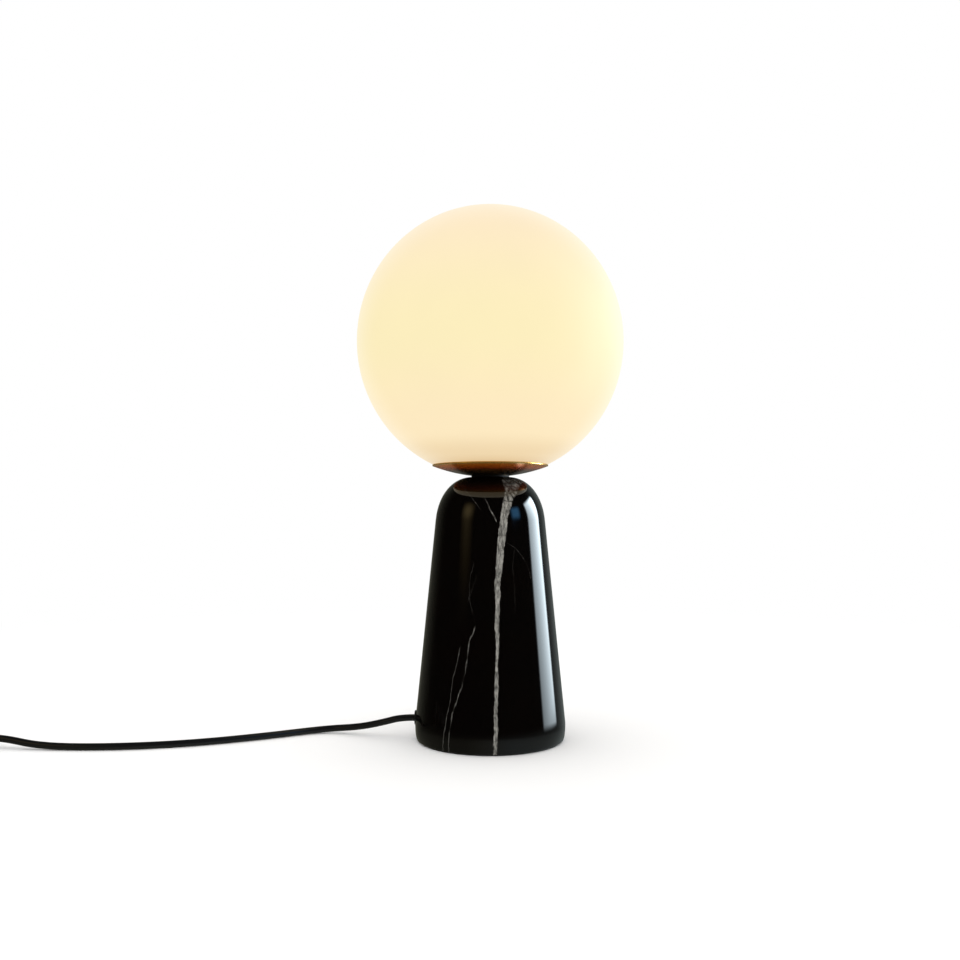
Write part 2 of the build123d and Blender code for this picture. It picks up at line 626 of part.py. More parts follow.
# ================================================================ cord fittings at the foot
def cord_grommet():
    flange_back = (-SPOT_FACE_X, 0, CORD_HOLE_Z)
    face = rod((-GROMMET_FACE_X, 0, CORD_HOLE_Z), flange_back, GROMMET_RADIUS)
    outer_edge = face.edges().filter_by(GeomType.CIRCLE).sort_by(Axis.X)[0]
    face = fillet(outer_edge, GROMMET_EDGE)
    sleeve_end = -SPOT_FACE_X + GROMMET_SLEEVE_LENGTH
    sleeve = rod(flange_back, (sleeve_end, 0, CORD_HOLE_Z), GROMMET_SLEEVE_RADIUS)
    bore = rod((-GROMMET_FACE_X - PAST, 0, CORD_HOLE_Z), (0, 0, CORD_HOLE_Z), CORD_BORE_RADIUS)
    return face + sleeve - bore


def cord_collar():
    near = CORD_GAP - sqrt(RECESS_RADIUS**2 - COLLAR_RADIUS**2)
    block = rod((near, 0, CORD_HOLE_Z), (near + COLLAR_LENGTH, 0, CORD_HOLE_Z), COLLAR_RADIUS)
    bore = rod((near - PAST, 0, CORD_HOLE_Z), (0, 0, CORD_HOLE_Z), CORD_RADIUS + THREAD_GAP)
    return block - bore


def inner_cord():
    points = [(-GROMMET_FACE_X, 0, CORD_HOLE_Z), (0, 0, CORD_HOLE_Z), (0, 0, CORD_TOP_Z)]
    path = FilletPolyline(*points, radius=CORD_BEND_RADIUS)
    return sweep((path ^ 0) * Circle(CORD_RADIUS), path=path), path.length


# ================================================================ cord switch, built about its own centre
def at_switch(shape):
    return Pos(SWITCH_PLACE[0], SWITCH_PLACE[1], 0) * shape


def case_block(low, high):
    section = RectangleRounded(SWITCH_LENGTH, SWITCH_WIDTH, SWITCH_CORNER)
    return extrude(Plane((0, 0, low)) * section, amount=high - low)


def case_hollow(low, high):
    length = SWITCH_LENGTH - 2 * SWITCH_END_WALL
    section = Rectangle(length, SWITCH_WIDTH - 2 * SWITCH_WALL)
    return extrude(Plane((0, 0, low)) * section, amount=high - low)


def cord_way():
    half = SWITCH_LENGTH / 2 + PAST
    return rod((-half, 0, SWITCH_CORD_Z), (half, 0, SWITCH_CORD_Z), CORD_BORE_RADIUS)


def case_screw_places():
    x, y = CASE_SCREW_PLACE
    return [(x, y), (-x, -y)]


def switch_lower_case():
    case = case_block(0, SWITCH_CORD_Z)
    case = fillet(case.faces().sort_by(Axis.Z)[0].edges(), SWITCH_LOWER_EDGE)
    case -= case_hollow(SWITCH_WALL, SWITCH_CORD_Z)
    for x, y in case_screw_places():
        case += Pos(x, y) * disc(CASE_POST_RADIUS, SWITCH_WALL, SWITCH_CORD_Z)
        case -= Pos(x, y) * disc(CASE_SCREW_RADIUS + THREAD_GAP, 0, SWITCH_CORD_Z)
        case -= Pos(x, y) * disc(CASE_SCREW_POCKET_RADIUS, 0, CASE_SCREW_HEAD_TOP)
    return case - cord_way()


ROCKER_PIVOT_Z = SWITCH_HEIGHT - PIVOT_BELOW_TOP
ROCKER_RISE = tan(radians(ROCKER_TILT)) * ROCKER_LENGTH / 2
ROCKER_END_Z = PIVOT_BELOW_TOP + ROCKER_PROUD - ROCKER_RISE  # from the pivot, level


def rocker_reach():
    """How far the low end's top edge comes from the pivot when tilted."""
    tilt = radians(ROCKER_TILT)
    return ROCKER_LENGTH / 2 * cos(tilt) + ROCKER_END_Z * sin(tilt)


def switch_upper_case():
    case = case_block(SWITCH_CORD_Z, SWITCH_HEIGHT)
    case = fillet(case.faces().sort_by(Axis.Z)[-1].edges(), SWITCH_EDGE)
    case -= case_hollow(SWITCH_CORD_Z, SWITCH_HEIGHT - SWITCH_WALL)
    window = Rectangle(2 * (rocker_reach() + ROCKER_GAP), ROCKER_WIDTH + 2 * ROCKER_GAP)
    case -= extrude(Plane((0, 0, SWITCH_CORD_Z)) * window, amount=SWITCH_HEIGHT)
    lug_y = ROCKER_WIDTH / 2 + ROCKER_GAP + PIVOT_LUG / 2
    lug_low = ROCKER_PIVOT_Z - HUB_RADIUS
    lug_high = SWITCH_HEIGHT - SWITCH_WALL
    lug = block_on(lug_low, HUB_RADIUS * 2, PIVOT_LUG, lug_high - lug_low)
    for side in (1, -1):
        case += Pos(0, lug_y * side) * lug
    hole_top = SWITCH_CORD_Z + CASE_SCREW_HOLE_REACH
    for x, y in case_screw_places():
        case += Pos(x, y) * disc(CASE_POST_RADIUS, SWITCH_CORD_Z, SWITCH_HEIGHT - SWITCH_WALL)
        case -= Pos(x, y) * disc(CASE_SCREW_RADIUS + THREAD_GAP, SWITCH_CORD_Z, hole_top)
    half_pin = lug_y + PIVOT_LUG
    pin_start = (0, -half_pin, ROCKER_PIVOT_Z)
    pin_end = (0, half_pin, ROCKER_PIVOT_Z)
    return case - rod(pin_start, pin_end, PIVOT_RADIUS + PIVOT_GAP) - cord_way()


def switch_pivot_pin():
    half = ROCKER_WIDTH / 2 + ROCKER_GAP + PIVOT_LUG
    return rod((0, -half, ROCKER_PIVOT_Z), (0, half, ROCKER_PIVOT_Z), PIVOT_RADIUS)


def switch_rocker():
    """Level when drawn, then tilted to its ON side."""
    half = ROCKER_LENGTH / 2
    low_half = half - ROCKER_DRAFT
    end_z = ROCKER_END_Z
    low_z = PIVOT_BELOW_TOP - SWITCH_WALL - ROCKER_RISE
    side_view = [
        ThreePointArc((-half, end_z), (0, end_z - ROCKER_RISE), (half, end_z)),
        Line((half, end_z), (low_half, low_z)),
        Line((low_half, low_z), (-low_half, low_z)),
        Line((-low_half, low_z), (-half, end_z)),
    ]
    body = extrude(Plane.XZ * make_face(side_view), amount=ROCKER_WIDTH / 2, both=True)
    hub = rod((0, -ROCKER_WIDTH / 2, 0), (0, ROCKER_WIDTH / 2, 0), HUB_RADIUS)
    web = Pos(0, 0, low_z / 2) * Box(HUB_RADIUS * 2, ROCKER_WIDTH, low_z + ROCKER_WEB_LAP)
    bore = rod((0, -ROCKER_WIDTH, 0), (0, ROCKER_WIDTH, 0), PIVOT_RADIUS + PIVOT_GAP)
    return Pos(0, 0, ROCKER_PIVOT_Z) * Rot(0, -ROCKER_TILT, 0) * (body + hub + web - bore)


def switch_terminals():
    block = block_on(SWITCH_WALL, TERMINAL_LENGTH, TERMINAL_WIDTH, TERMINAL_HEIGHT)
    sides = (TERMINAL_PITCH / 2, -TERMINAL_PITCH / 2)
    return Compound(children=[Pos(x, terminal_y()) * block for x in sides])


def terminal_y():
    return -WIRE_OFFSET + WIRE_RADIUS - TERMINAL_WIDTH / 2


def switch_blade():
    strip = block_on(SWITCH_WALL + TERMINAL_HEIGHT, TERMINAL_PITCH, BLADE_WIDTH, BLADE_THICKNESS)
    return Pos(0, terminal_y()) * strip


def switch_wires():
    """The wire that passes straight through, and the two ends that the switch joins."""
    inside = SWITCH_LENGTH / 2 - SWITCH_END_WALL
    terminal_face = (TERMINAL_PITCH + TERMINAL_LENGTH) / 2
    through = rod((-inside, WIRE_OFFSET, SWITCH_CORD_Z), (inside, WIRE_OFFSET, SWITCH_CORD_Z), WIRE_RADIUS)
    wires = [through]
    joined_z = SWITCH_CORD_Z - WIRE_DROP
    for side in (1, -1):
        at_terminal = (side * terminal_face, -WIRE_OFFSET, joined_z)
        at_wall = (side * inside, -WIRE_OFFSET, joined_z)
        wires.append(rod(at_terminal, at_wall, WIRE_RADIUS))
    return Compound(children=wires)


def switch_screws():
    screws = []
    for x, y in case_screw_places():
        head = disc(CASE_SCREW_HEAD_RADIUS, CASE_SCREW_HEAD_INSET, CASE_SCREW_HEAD_TOP)
        shank = disc(CASE_SCREW_RADIUS, CASE_SCREW_HEAD_TOP, SWITCH_CORD_Z + CASE_SCREW_REACH)
        screws.append(Pos(x, y) * (head + shank))
    return Compound(children=screws)


# ================================================================ coil, tie and plug
def coil_point(turn):
    """A point on the coil's axis: in along the bottom layer, up a layer, out along the top one."""
    half = COIL_TURNS / 2
    radius = COIL_OUTER_RADIUS - COIL_PITCH * min(turn, COIL_TURNS - turn)
    climb = min(max((turn - half) * 2 + 0.5, 0), 1)
    height = COIL_Z + COIL_PITCH * climb**2 * (3 - 2 * climb)
    angle = radians(COIL_START_ANGLE) + 2 * pi * turn
    return Vector(COIL_CENTRE[0] + radius * cos(angle), COIL_CENTRE[1] + radius * sin(angle), height)


def coil_heading(turn):
    nudge = 0.002
    return (coil_point(min(turn + nudge, COIL_TURNS)) - coil_point(max(turn - nudge, 0))).normalized()


def coil_gap():
    """The least clear space between the coil's turns, from points 5 degrees apart."""
    per_turn = 72
    spots = [coil_point(i / per_turn) for i in range(int(COIL_TURNS * per_turn) + 1)]
    least = min(
        (spots[i] - spots[j]).length for i in range(len(spots)) for j in range(i + per_turn // 2, len(spots))
    )
    return least - CORD_DIAMETER


def cord_coil():
    quarters = int(COIL_TURNS * 4)
    start = coil_point(0)
    end = coil_point(COIL_TURNS)
    straight_in = Line(start + Vector(0, CORD_DIAMETER, 0), start)
    straight_out = Line(end, end + Vector(CORD_DIAMETER, 0, 0))
    headings = [coil_heading(q / 4) for q in range(quarters + 1)]
    headings[0] = Vector(0, -1, 0)
    headings[-1] = Vector(1, 0, 0)
    edges = [straight_in]
    for q in range(quarters):
        edges += biarc(coil_point(q / 4), headings[q], coil_point((q + 1) / 4), headings[q + 1])
    path = Wire([*edges, straight_out])
    tube = sweep((path ^ 0) * Circle(CORD_RADIUS), path=path)
    share = tube.volume / (pi * CORD_RADIUS**2 * path.length)
    print(f"cord_coil: length {path.length:.1f}, volume over section times length {share:.4f}, "
          f"least gap to itself {coil_gap():.2f}")
    return tube, path.length


def cord_tie():
    """A flat band round the bundle of turns."""
    bundle_in = COIL_INNER_RADIUS - CORD_RADIUS - TIE_GAP
    bundle_out = COIL_OUTER_RADIUS + CORD_RADIUS + TIE_GAP
    low = COIL_BOTTOM_Z - TIE_GAP
    high = COIL_END_Z + CORD_RADIUS + TIE_GAP
    width = bundle_out - bundle_in
    height = high - low
    corner = CORD_RADIUS + TIE_GAP
    both_sides = 2 * TIE_THICKNESS
    hole = RectangleRounded(width, height, corner)
    band = RectangleRounded(width + both_sides, height + both_sides, corner + TIE_THICKNESS)
    ring = extrude(Plane.XZ * (band - hole), amount=TIE_WIDTH / 2, both=True)
    middle = (bundle_in + bundle_out) / 2
    placed = Rot(0, 0, TIE_ANGLE) * Pos(middle, 0, (low + high) / 2) * ring
    return Pos(COIL_CENTRE[0], COIL_CENTRE[1], 0) * placed


def at_plug(shape):
    """The plug is drawn pointing along +X with its pins' face at the origin."""
    return Pos(PLUG_FRONT_X, PLUG_Y, PLUG_Z) * shape


def plug_body():
    half = PLUG_WIDTH / 2
    neck = PLUG_NECK_WIDTH / 2
    waist = (-PLUG_WAIST, half)
    back = (-PLUG_LENGTH, neck)
    back_low = (-PLUG_LENGTH, -neck)
    waist_low = (-PLUG_WAIST, -half)
    outline = [
        Line((0, -half), (0, half)),
        Line((0, half), waist),
        TangentArc(waist, back, tangent=(-1, 0)),
        Line(back, back_low),
        TangentArc(waist_low, back_low, tangent=(-1, 0)),
        Line(waist_low, (0, -half)),
    ]
    body = extrude(make_face(outline), amount=PLUG_THICKNESS / 2, both=True)
    broad = body.faces().filter_by(Axis.Z)
    body = fillet(broad.edges(), PLUG_EDGE)
    for y in pin_places():
        body -= rod((-PIN_ROOT - SLEEVE_GAP, y, 0), (PAST, y, 0), PIN_NECK_RADIUS + SLEEVE_GAP)
    return body


def pin_places():
    return (PIN_SPACING / 2, -PIN_SPACING / 2)


def plug_pins():
    pins = []
    for y in pin_places():
        neck = rod((-PIN_ROOT, y, 0), (SLEEVE_LENGTH, y, 0), PIN_NECK_RADIUS)
        shank = rod((SLEEVE_LENGTH, y, 0), (PIN_LENGTH - PIN_RADIUS, y, 0), PIN_RADIUS)
        tip = Pos(PIN_LENGTH - PIN_RADIUS, y, 0) * Sphere(PIN_RADIUS)
        pins.append(neck + shank + tip)
    return Compound(children=pins)


def pin_sleeves():
    sleeves = []
    for y in pin_places():
        sleeve = rod((0, y, 0), (SLEEVE_LENGTH, y, 0), SLEEVE_RADIUS)
        bore = rod((-PAST, y, 0), (SLEEVE_LENGTH + PAST, y, 0), PIN_NECK_RADIUS + SLEEVE_GAP)
        sleeves.append(sleeve - bore)
    return Compound(children=sleeves)


def plug_boot():
    """Tapered strain relief from the plug's back along the cord."""
    cone = lathe(
        (CORD_BORE_RADIUS, 0),
        (BOOT_RADIUS, 0),
        (BOOT_TIP_RADIUS, BOOT_LENGTH),
        (CORD_BORE_RADIUS, BOOT_LENGTH),
    )
    return Pos(PLUG_BACK_X, PLUG_Y, PLUG_Z) * Rot(0, -90, 0) * cone


def plug_cord():
    boot_tip_x = PLUG_BACK_X - BOOT_LENGTH
    middle_x = (COIL_END_X + boot_tip_x) / 2
    points = [
        (COIL_END_X, PLUG_Y, COIL_END_Z),
        (middle_x - PLUG_CORD_BEND_BACK, PLUG_Y, COIL_END_Z),
        (middle_x + PLUG_CORD_BEND_ON, PLUG_Y, PLUG_Z),
        (PLUG_BACK_X, PLUG_Y, PLUG_Z),
    ]
    return cord_tube("plug_cord", points)


# ================================================================ build and write
def save(name, shape):
    export_step(shape, f"parts/{name}.step")


os.makedirs("parts", exist_ok=True)

save("base_felt_pad", disc(PAD_RADIUS, 0, PAD_THICKNESS))
save("marble_base", marble_base())
save("threaded_tube", disc(TUBE_RADIUS, TUBE_BOTTOM_Z, TUBE_TOP_Z, TUBE_BORE_RADIUS))
save("bottom_washer", disc(WASHER_RADIUS, WASHER_Z, RECESS_CEILING_Z, TUBE_HOLE_RADIUS))
save("bottom_lock_washer", lock_washer())
save("bottom_nut", hex_nut(NUT_FLATS, NUT_Z, LOCK_WASHER_Z, THREAD_RADIUS))
save("neck_spacer", neck_spacer())
save("brass_dish", brass_dish())
save("globe_springs", globe_springs())
save("dish_nut", hex_nut(THIN_NUT_FLATS, THIN_NUT_Z, HOLDER_Z, THREAD_RADIUS))
save("globe_gasket", globe_gasket())
save("glass_globe", glass_globe())

save("lampholder_cap", lampholder_cap())
save("lampholder_body", lampholder_body())
save("terminal_block", terminal_block())
save("terminal_screws", terminal_screws())
save("thread_shell", thread_shell())
save("centre_contact", centre_contact())
save("live_wire", holder_wire(1))
save("neutral_wire", holder_wire(-1))

save("bulb_diffuser", bulb_diffuser())
save("bulb_housing", bulb_housing())
save("bulb_cap", disc(BULB_CAP_RADIUS, BULB_CAP_Z, BULB_HOUSING_Z))
save("bulb_insulator", bulb_insulator())
save("bulb_tip_contact", disc(BULB_TIP_RADIUS, BULB_Z, BULB_INSULATOR_Z))

save("cord_grommet", cord_grommet())
save("cord_collar", cord_collar())
inner, inner_length = inner_cord()
save("inner_cord", inner)

lead, lead_length = cord_tube("lead_cord", LEAD_ROUTE)
save("lead_cord", lead)
save("switch_lower_case", at_switch(switch_lower_case()))
save("switch_upper_case", at_switch(switch_upper_case()))
save("switch_rocker", at_switch(switch_rocker()))
save("switch_pivot_pin", at_switch(switch_pivot_pin()))
save("switch_terminals", at_switch(switch_terminals()))
save("switch_blade", at_switch(switch_blade()))
save("switch_wires", at_switch(switch_wires()))
save("switch_screws", at_switch(switch_screws()))

link, link_length = cord_tube("switch_cord", SWITCH_CORD_ROUTE)
save("switch_cord", link)
coil, coil_length = cord_coil()
save("cord_coil", coil)
save("cord_tie", cord_tie())
tail, tail_length = plug_cord()
save("plug_cord", tail)
save("plug_body", at_plug(plug_body()))
save("plug_boot", plug_boot())
save("plug_pins", at_plug(plug_pins()))
save("plug_pin_sleeves", at_plug(pin_sleeves()))

outside_length = lead_length + SWITCH_LENGTH + link_length + coil_length + tail_length
print(f"cord outside the lamp {outside_length:.0f}, inside {inner_length:.0f}")
print(f"globe centre {GLOBE_Z:.2f}, top {GLOBE_Z + GLOBE_RADIUS:.2f}")
print(f"globe cut {GLOBE_CUT_Z:.2f} at radius {GLOBE_CUT_RADIUS:.2f}")
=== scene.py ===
"""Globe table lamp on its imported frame: finishes, cord, studio and camera."""

from collections import namedtuple
from math import cos, pi, radians, sin, sqrt

import bpy
from bpy.props import (
    FloatProperty,
    FloatVectorProperty,
    IntProperty,
    PointerProperty,
)
from bpy.types import Operator, Panel, PropertyGroup
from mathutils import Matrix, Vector


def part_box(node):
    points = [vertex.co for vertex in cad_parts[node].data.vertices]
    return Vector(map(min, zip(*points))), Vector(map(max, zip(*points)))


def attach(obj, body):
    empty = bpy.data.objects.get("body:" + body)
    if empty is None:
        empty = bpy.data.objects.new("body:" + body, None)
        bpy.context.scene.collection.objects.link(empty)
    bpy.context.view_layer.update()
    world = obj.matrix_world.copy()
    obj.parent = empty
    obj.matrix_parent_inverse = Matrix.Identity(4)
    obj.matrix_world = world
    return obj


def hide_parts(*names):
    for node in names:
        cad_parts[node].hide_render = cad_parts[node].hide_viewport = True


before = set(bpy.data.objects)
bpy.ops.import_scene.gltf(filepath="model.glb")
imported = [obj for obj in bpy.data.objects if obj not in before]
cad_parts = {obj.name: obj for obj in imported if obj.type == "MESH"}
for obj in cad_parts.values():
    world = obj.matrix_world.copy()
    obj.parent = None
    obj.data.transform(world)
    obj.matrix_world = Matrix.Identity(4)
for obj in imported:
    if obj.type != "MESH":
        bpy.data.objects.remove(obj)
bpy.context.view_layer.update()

bl_info = {
    "name": "Globe Table Lamp",
    "version": (1, 0, 0),
    "blender": (4, 5, 0),
    "location": "3D View > Sidebar > Lamp",
    "description": "Dresses an opal globe lamp on a black marble foot",
    "category": "Object",
}

MM = 0.001
WHITE = (1.0, 1.0, 1.0, 1.0)

# The cord's line in metres: out of the foot, along the table and into the
# switch, on to the coil, and from the coil to the plug.
TO_SWITCH = [
    (-0.05807, 0.0, 0.0162),
    (-0.0688, 0.0, 0.0162),
    (-0.082, 0.0025, 0.0122),
    (-0.102, 0.0115, 0.0064),
    (-0.131, 0.0225, 0.0026),
    (-0.172, -0.003, 0.0026),
    (-0.222, -0.027, 0.0026),
    (-0.275, -0.0385, 0.0026),
    (-0.328, -0.037, 0.0026),
    (-0.360, -0.030, 0.0075),
    (-0.382, -0.030, 0.0075),
]
TO_COIL = [
    (-0.442, -0.030, 0.0075),
    (-0.465, -0.030, 0.0075),
    (-0.48286, -0.0474, 0.0038),
    (-0.48286, -0.0878, 0.0038),
]
TO_PLUG = [
    (-0.4374, -0.13326, 0.0096),
    (-0.4294, -0.13326, 0.0096),
    (-0.4214, -0.13326, 0.00685),
    (-0.3914, -0.13326, 0.00685),
]
COIL_MIDDLE = (-0.4426, -0.0930)
COIL_RADIUS = 0.0402625
COIL_TURNS = 6.25
COIL_PITCH = 0.0058
COIL_FLOOR = 0.0038
POINTS_PER_TURN = 16

# The outline of the foot, spacer and dish: radii and heights in mm.
FOOT_RADIUS = 56.1
FOOT_LOW = 1.0
FOOT_CURVE = 12.0
WALL_RADIUS = 57.6
SHOULDER_RADIUS = 41.7
SHOULDER_HEIGHT = 167.0
DOME_POWER = 2.22
TOP_RADIUS = 13.3
TOP_HEIGHT = 200.5
RECESS_RADIUS = 26.0
RECESS_HEIGHT = 46.0
TUBE_HOLE = 5.25
CORD_HEIGHT = 16.2
CORD_HOLE = 4.5
SPOT_FACE_RADIUS = 5.9
SPOT_FACE_REACH = 56.17
SPACER_RADIUS = 14.3
DISH_LOW = 200.85
DISH_CURVE = 124.0
DISH_WALL = 0.9
DISH_RADIUS = 44.0
DISH_BOSS = 15.0
DISH_BOSS_HEIGHT = 201.71
RIM_HEIGHT = 209.92
SEAT_GAP = 0.02

# How finely the round pieces are divided, and the angle that makes an edge sharp.
LATHE_STEPS = 160
DRILL_STEPS = 48
FOOT_EDGE_STEPS = 10
WALL_STEPS = 24
DOME_STEPS = 48
SPACER_STEPS = 6
BOWL_STEPS = 24
LIP_STEPS = 8
INSIDE_STEPS = 19
SHARP_ANGLE = radians(35)
DRILL_RUN_OUT = 5.0

# Painted shade and a painted warm reflection under the dish, between two radii in mm:
# (share of the way, colour).
UNDERSIDE_SHADE_REACH = (26.0, 44.0)
UNDERSIDE_SHADE = [
    (0.0, "#090302"),
    (0.25, "#500D02"),
    (0.44, "#A82E05"),
    (0.67, "#DC5F0A"),
    (0.85, "#EA7A12"),
]

# The marble's veins. Each is a sheet in the stone: its course as (height,
# offset, width) in mm, its lean into the stone, how much its edge is broken,
# and how pale it is. The reach and span in metres are the most that a course
# can leave the middle and the widest that a vein can be.
FOOT_HEIGHT = 0.2
VEIN_REACH = 0.04
VEIN_SPAN = 0.02
VEIN_FADE = (-0.1, 0.35)
Vein = namedtuple("Vein", "course lean broken pale")
VEINS = [
    Vein(
        course=[
            (14.2, 10.4, 2.8),
            (38.6, 10.5, 3.0),
            (68.9, 11.0, 2.7),
            (92.2, 10.8, 3.0),
            (114.9, 10.8, 4.0),
            (138.4, 11.8, 5.2),
            (153.5, 13.0, 5.8),
            (172.9, 15.6, 5.6),
            (182.0, 17.2, 6.2),
            (188.0, 18.8, 8.6),
            (198.0, 19.2, 15.0),
        ],
        lean=0.12,
        broken=1.0,
        pale=1.0,
    ),
    Vein(
        course=[
            (166.0, 0.4, 0.0),
            (168.0, -0.5, 1.0),
            (177.2, -4.9, 1.1),
            (183.5, -7.5, 0.9),
            (185.0, -8.0, 0.0),
        ],
        lean=-0.1,
        broken=0.5,
        pale=0.75,
    ),
    Vein(
        course=[(173.0, -10.0, 0.0), (175.8, -11.3, 0.8), (186.0, -18.4, 0.7)],
        lean=-0.1,
        broken=0.4,
        pale=0.3,
    ),
    Vein(
        course=[
            (0.0, -15.8, 0.9),
            (8.6, -15.2, 1.0),
            (21.7, -13.6, 1.1),
            (29.6, -12.2, 1.0),
            (48.5, -5.6, 1.0),
            (67.1, -1.9, 0.8),
            (79.4, -0.9, 1.0),
            (90.3, 3.3, 0.9),
            (93.0, 4.0, 0.0),
        ],
        lean=0.3,
        broken=0.9,
        pale=0.42,
    ),
    Vein(
        course=[
            (0.0, -20.4, 0.7),
            (16.5, -19.1, 0.8),
            (32.2, -15.9, 0.7),
            (52.5, -13.1, 0.6),
            (73.9, -8.3, 0.6),
            (78.0, -7.6, 0.0),
        ],
        lean=0.3,
        broken=0.8,
        pale=0.28,
    ),
    Vein(
        course=[
            (124.0, 18.8, 0.0),
            (126.9, 18.4, 0.7),
            (136.4, 14.9, 0.7),
            (144.3, 9.5, 0.7),
            (150.6, 0.8, 0.6),
            (152.0, -2.0, 0.0),
        ],
        lean=-0.3,
        broken=0.7,
        pale=0.16,
    ),
    Vein(
        course=[
            (108.0, -25.8, 0.0),
            (111.9, -24.2, 0.7),
            (124.1, -19.8, 0.7),
            (130.0, -18.4, 0.0),
        ],
        lean=-0.2,
        broken=0.8,
        pale=0.09,
    ),
    Vein(
        course=[
            (92.0, 3.6, 0.0),
            (96.0, 3.0, 0.7),
            (118.0, -2.0, 0.7),
            (136.0, 0.5, 0.6),
            (142.0, 1.5, 0.0),
        ],
        lean=0.3,
        broken=1.1,
        pale=0.08,
    ),
    Vein(
        course=[
            (98.0, 24.0, 0.0),
            (110.0, 23.0, 0.6),
            (140.0, 21.5, 0.6),
            (160.0, 22.0, 0.0),
        ],
        lean=0.12,
        broken=0.9,
        pale=0.06,
    ),
]

# Sizes of the patterns in mm.
VEIN_STEP = 6.667
VEIN_PATCH = 13.333
CRYSTAL = 1.786
SHARD = 5.263
BROWN_CLOUD = 38.46
HANDLING_MARK = 15.385
GLASS_CLOUD = 62.5
GLASS_GRAIN = 0.4

# The camera: its focal length and the picture's side in pixels, the sensor in
# mm, where it stands in metres and how far it looks down in radians.
FOCAL_PIXELS = 938
PICTURE_PIXELS = 960
SENSOR = 36.0
CAMERA_SHIFT = (-0.0107, 0.0840)
CAMERA_PLACE = (0.0, -0.716, 0.1661)
CAMERA_DIP = 0.0407


def linear(code):
    """Turns an sRGB hex colour into the linear values that shaders take."""
    parts = [int(code[i : i + 2], 16) / 255 for i in (1, 3, 5)]
    low = [part / 12.92 for part in parts]
    high = [((part + 0.055) / 1.055) ** 2.4 for part in parts]
    picked = [a if part <= 0.04045 else b for part, a, b in zip(parts, low, high)]
    return (*picked, 1.0)


def add_node(tree, kind, values=(), links=(), **settings):
    """Adds a node, sets its properties and sockets, and links its inputs."""
    made = tree.nodes.new(kind)
    for key, value in settings.items():
        setattr(made, key, value)
    for key, value in dict(values).items():
        made.inputs[key].default_value = value
    for key, source in dict(links).items():
        tree.links.new(source, made.inputs[key])
    return made


def blank_material(name):
    """Makes a material with an empty node tree and returns it with the tree."""
    made = bpy.data.materials.new(name)
    made.use_nodes = True
    made.node_tree.nodes.clear()
    return made, made.node_tree


def show_shader(tree, shader):
    """Links a shader to the tree's output."""
    add_node(tree, "ShaderNodeOutputMaterial", links={"Surface": shader.outputs[0]})


def dress(material, *names):
    """Gives CAD nodes a finish in the material slots that they came with."""
    for name in names:
        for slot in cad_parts[name].material_slots:
            slot.material = material


def texture_scale(size):
    """Turns the size of a pattern in mm into the scale of its texture."""
    return 1 / (size * MM)


def spread(start, end, steps):
    """Yields evenly spaced values from one end to the other, both included."""
    for index in range(steps + 1):
        yield start + (end - start) * index / steps


def arc(start, end, steps):
    """Yields the angles in radians from one angle in degrees to another."""
    return map(radians, spread(start, end, steps))


def add_mesh(name, points, faces):
    """Makes a mesh object from points and faces and links it to the scene."""
    data = bpy.data.meshes.new(name)
    data.from_pydata(points, [], faces)
    made = bpy.data.objects.new(name, data)
    bpy.context.scene.collection.objects.link(made)
    return made


def lathe(name, outline):
    """Turns a closed outline in mm round the upright axis into a solid piece."""
    count = len(outline)
    points, faces = [], []
    for step in range(LATHE_STEPS):
        turn = 2 * pi * step / LATHE_STEPS
        for reach, height in outline:
            points.append((reach * MM * cos(turn), reach * MM * sin(turn), height * MM))
        here, there = step * count, (step + 1) % LATHE_STEPS * count
        for index in range(count):
            following = (index + 1) % count
            faces.append(
                (here + index, there + index, there + following, here + following)
            )
    made = add_mesh(name, points, faces)
    made.data.shade_smooth()
    made.data.set_sharp_from_angle(angle=SHARP_ANGLE)
    return made


def drill(piece, radius, end):
    """Cuts a round hole along X at the cord's height, from outside to an end in mm."""
    points = []
    for reach in (-WALL_RADIUS - DRILL_RUN_OUT, end):
        for angle in arc(0, 360 - 360 / DRILL_STEPS, DRILL_STEPS - 1):
            height = CORD_HEIGHT + radius * sin(angle)
            points.append((reach * MM, radius * MM * cos(angle), height * MM))
    faces = [
        tuple(reversed(range(DRILL_STEPS))),
        tuple(range(DRILL_STEPS, 2 * DRILL_STEPS)),
    ]
    for index in range(DRILL_STEPS):
        following = (index + 1) % DRILL_STEPS
        faces.append((index, following, DRILL_STEPS + following, DRILL_STEPS + index))
    cutter = add_mesh("cutter", points, faces)
    cut = piece.modifiers.new("cut", "BOOLEAN")
    cut.operation = "DIFFERENCE"
    cut.solver = "EXACT"
    cut.object = cutter
    graph = bpy.context.evaluated_depsgraph_get()
    carved = bpy.data.meshes.new_from_object(piece.evaluated_get(graph))
    piece.modifiers.clear()
    spent = [piece.data, cutter.data]
    piece.data = carved
    bpy.data.objects.remove(cutter)
    for data in spent:
        bpy.data.meshes.remove(data)
    carved.set_sharp_from_angle(angle=SHARP_ANGLE)


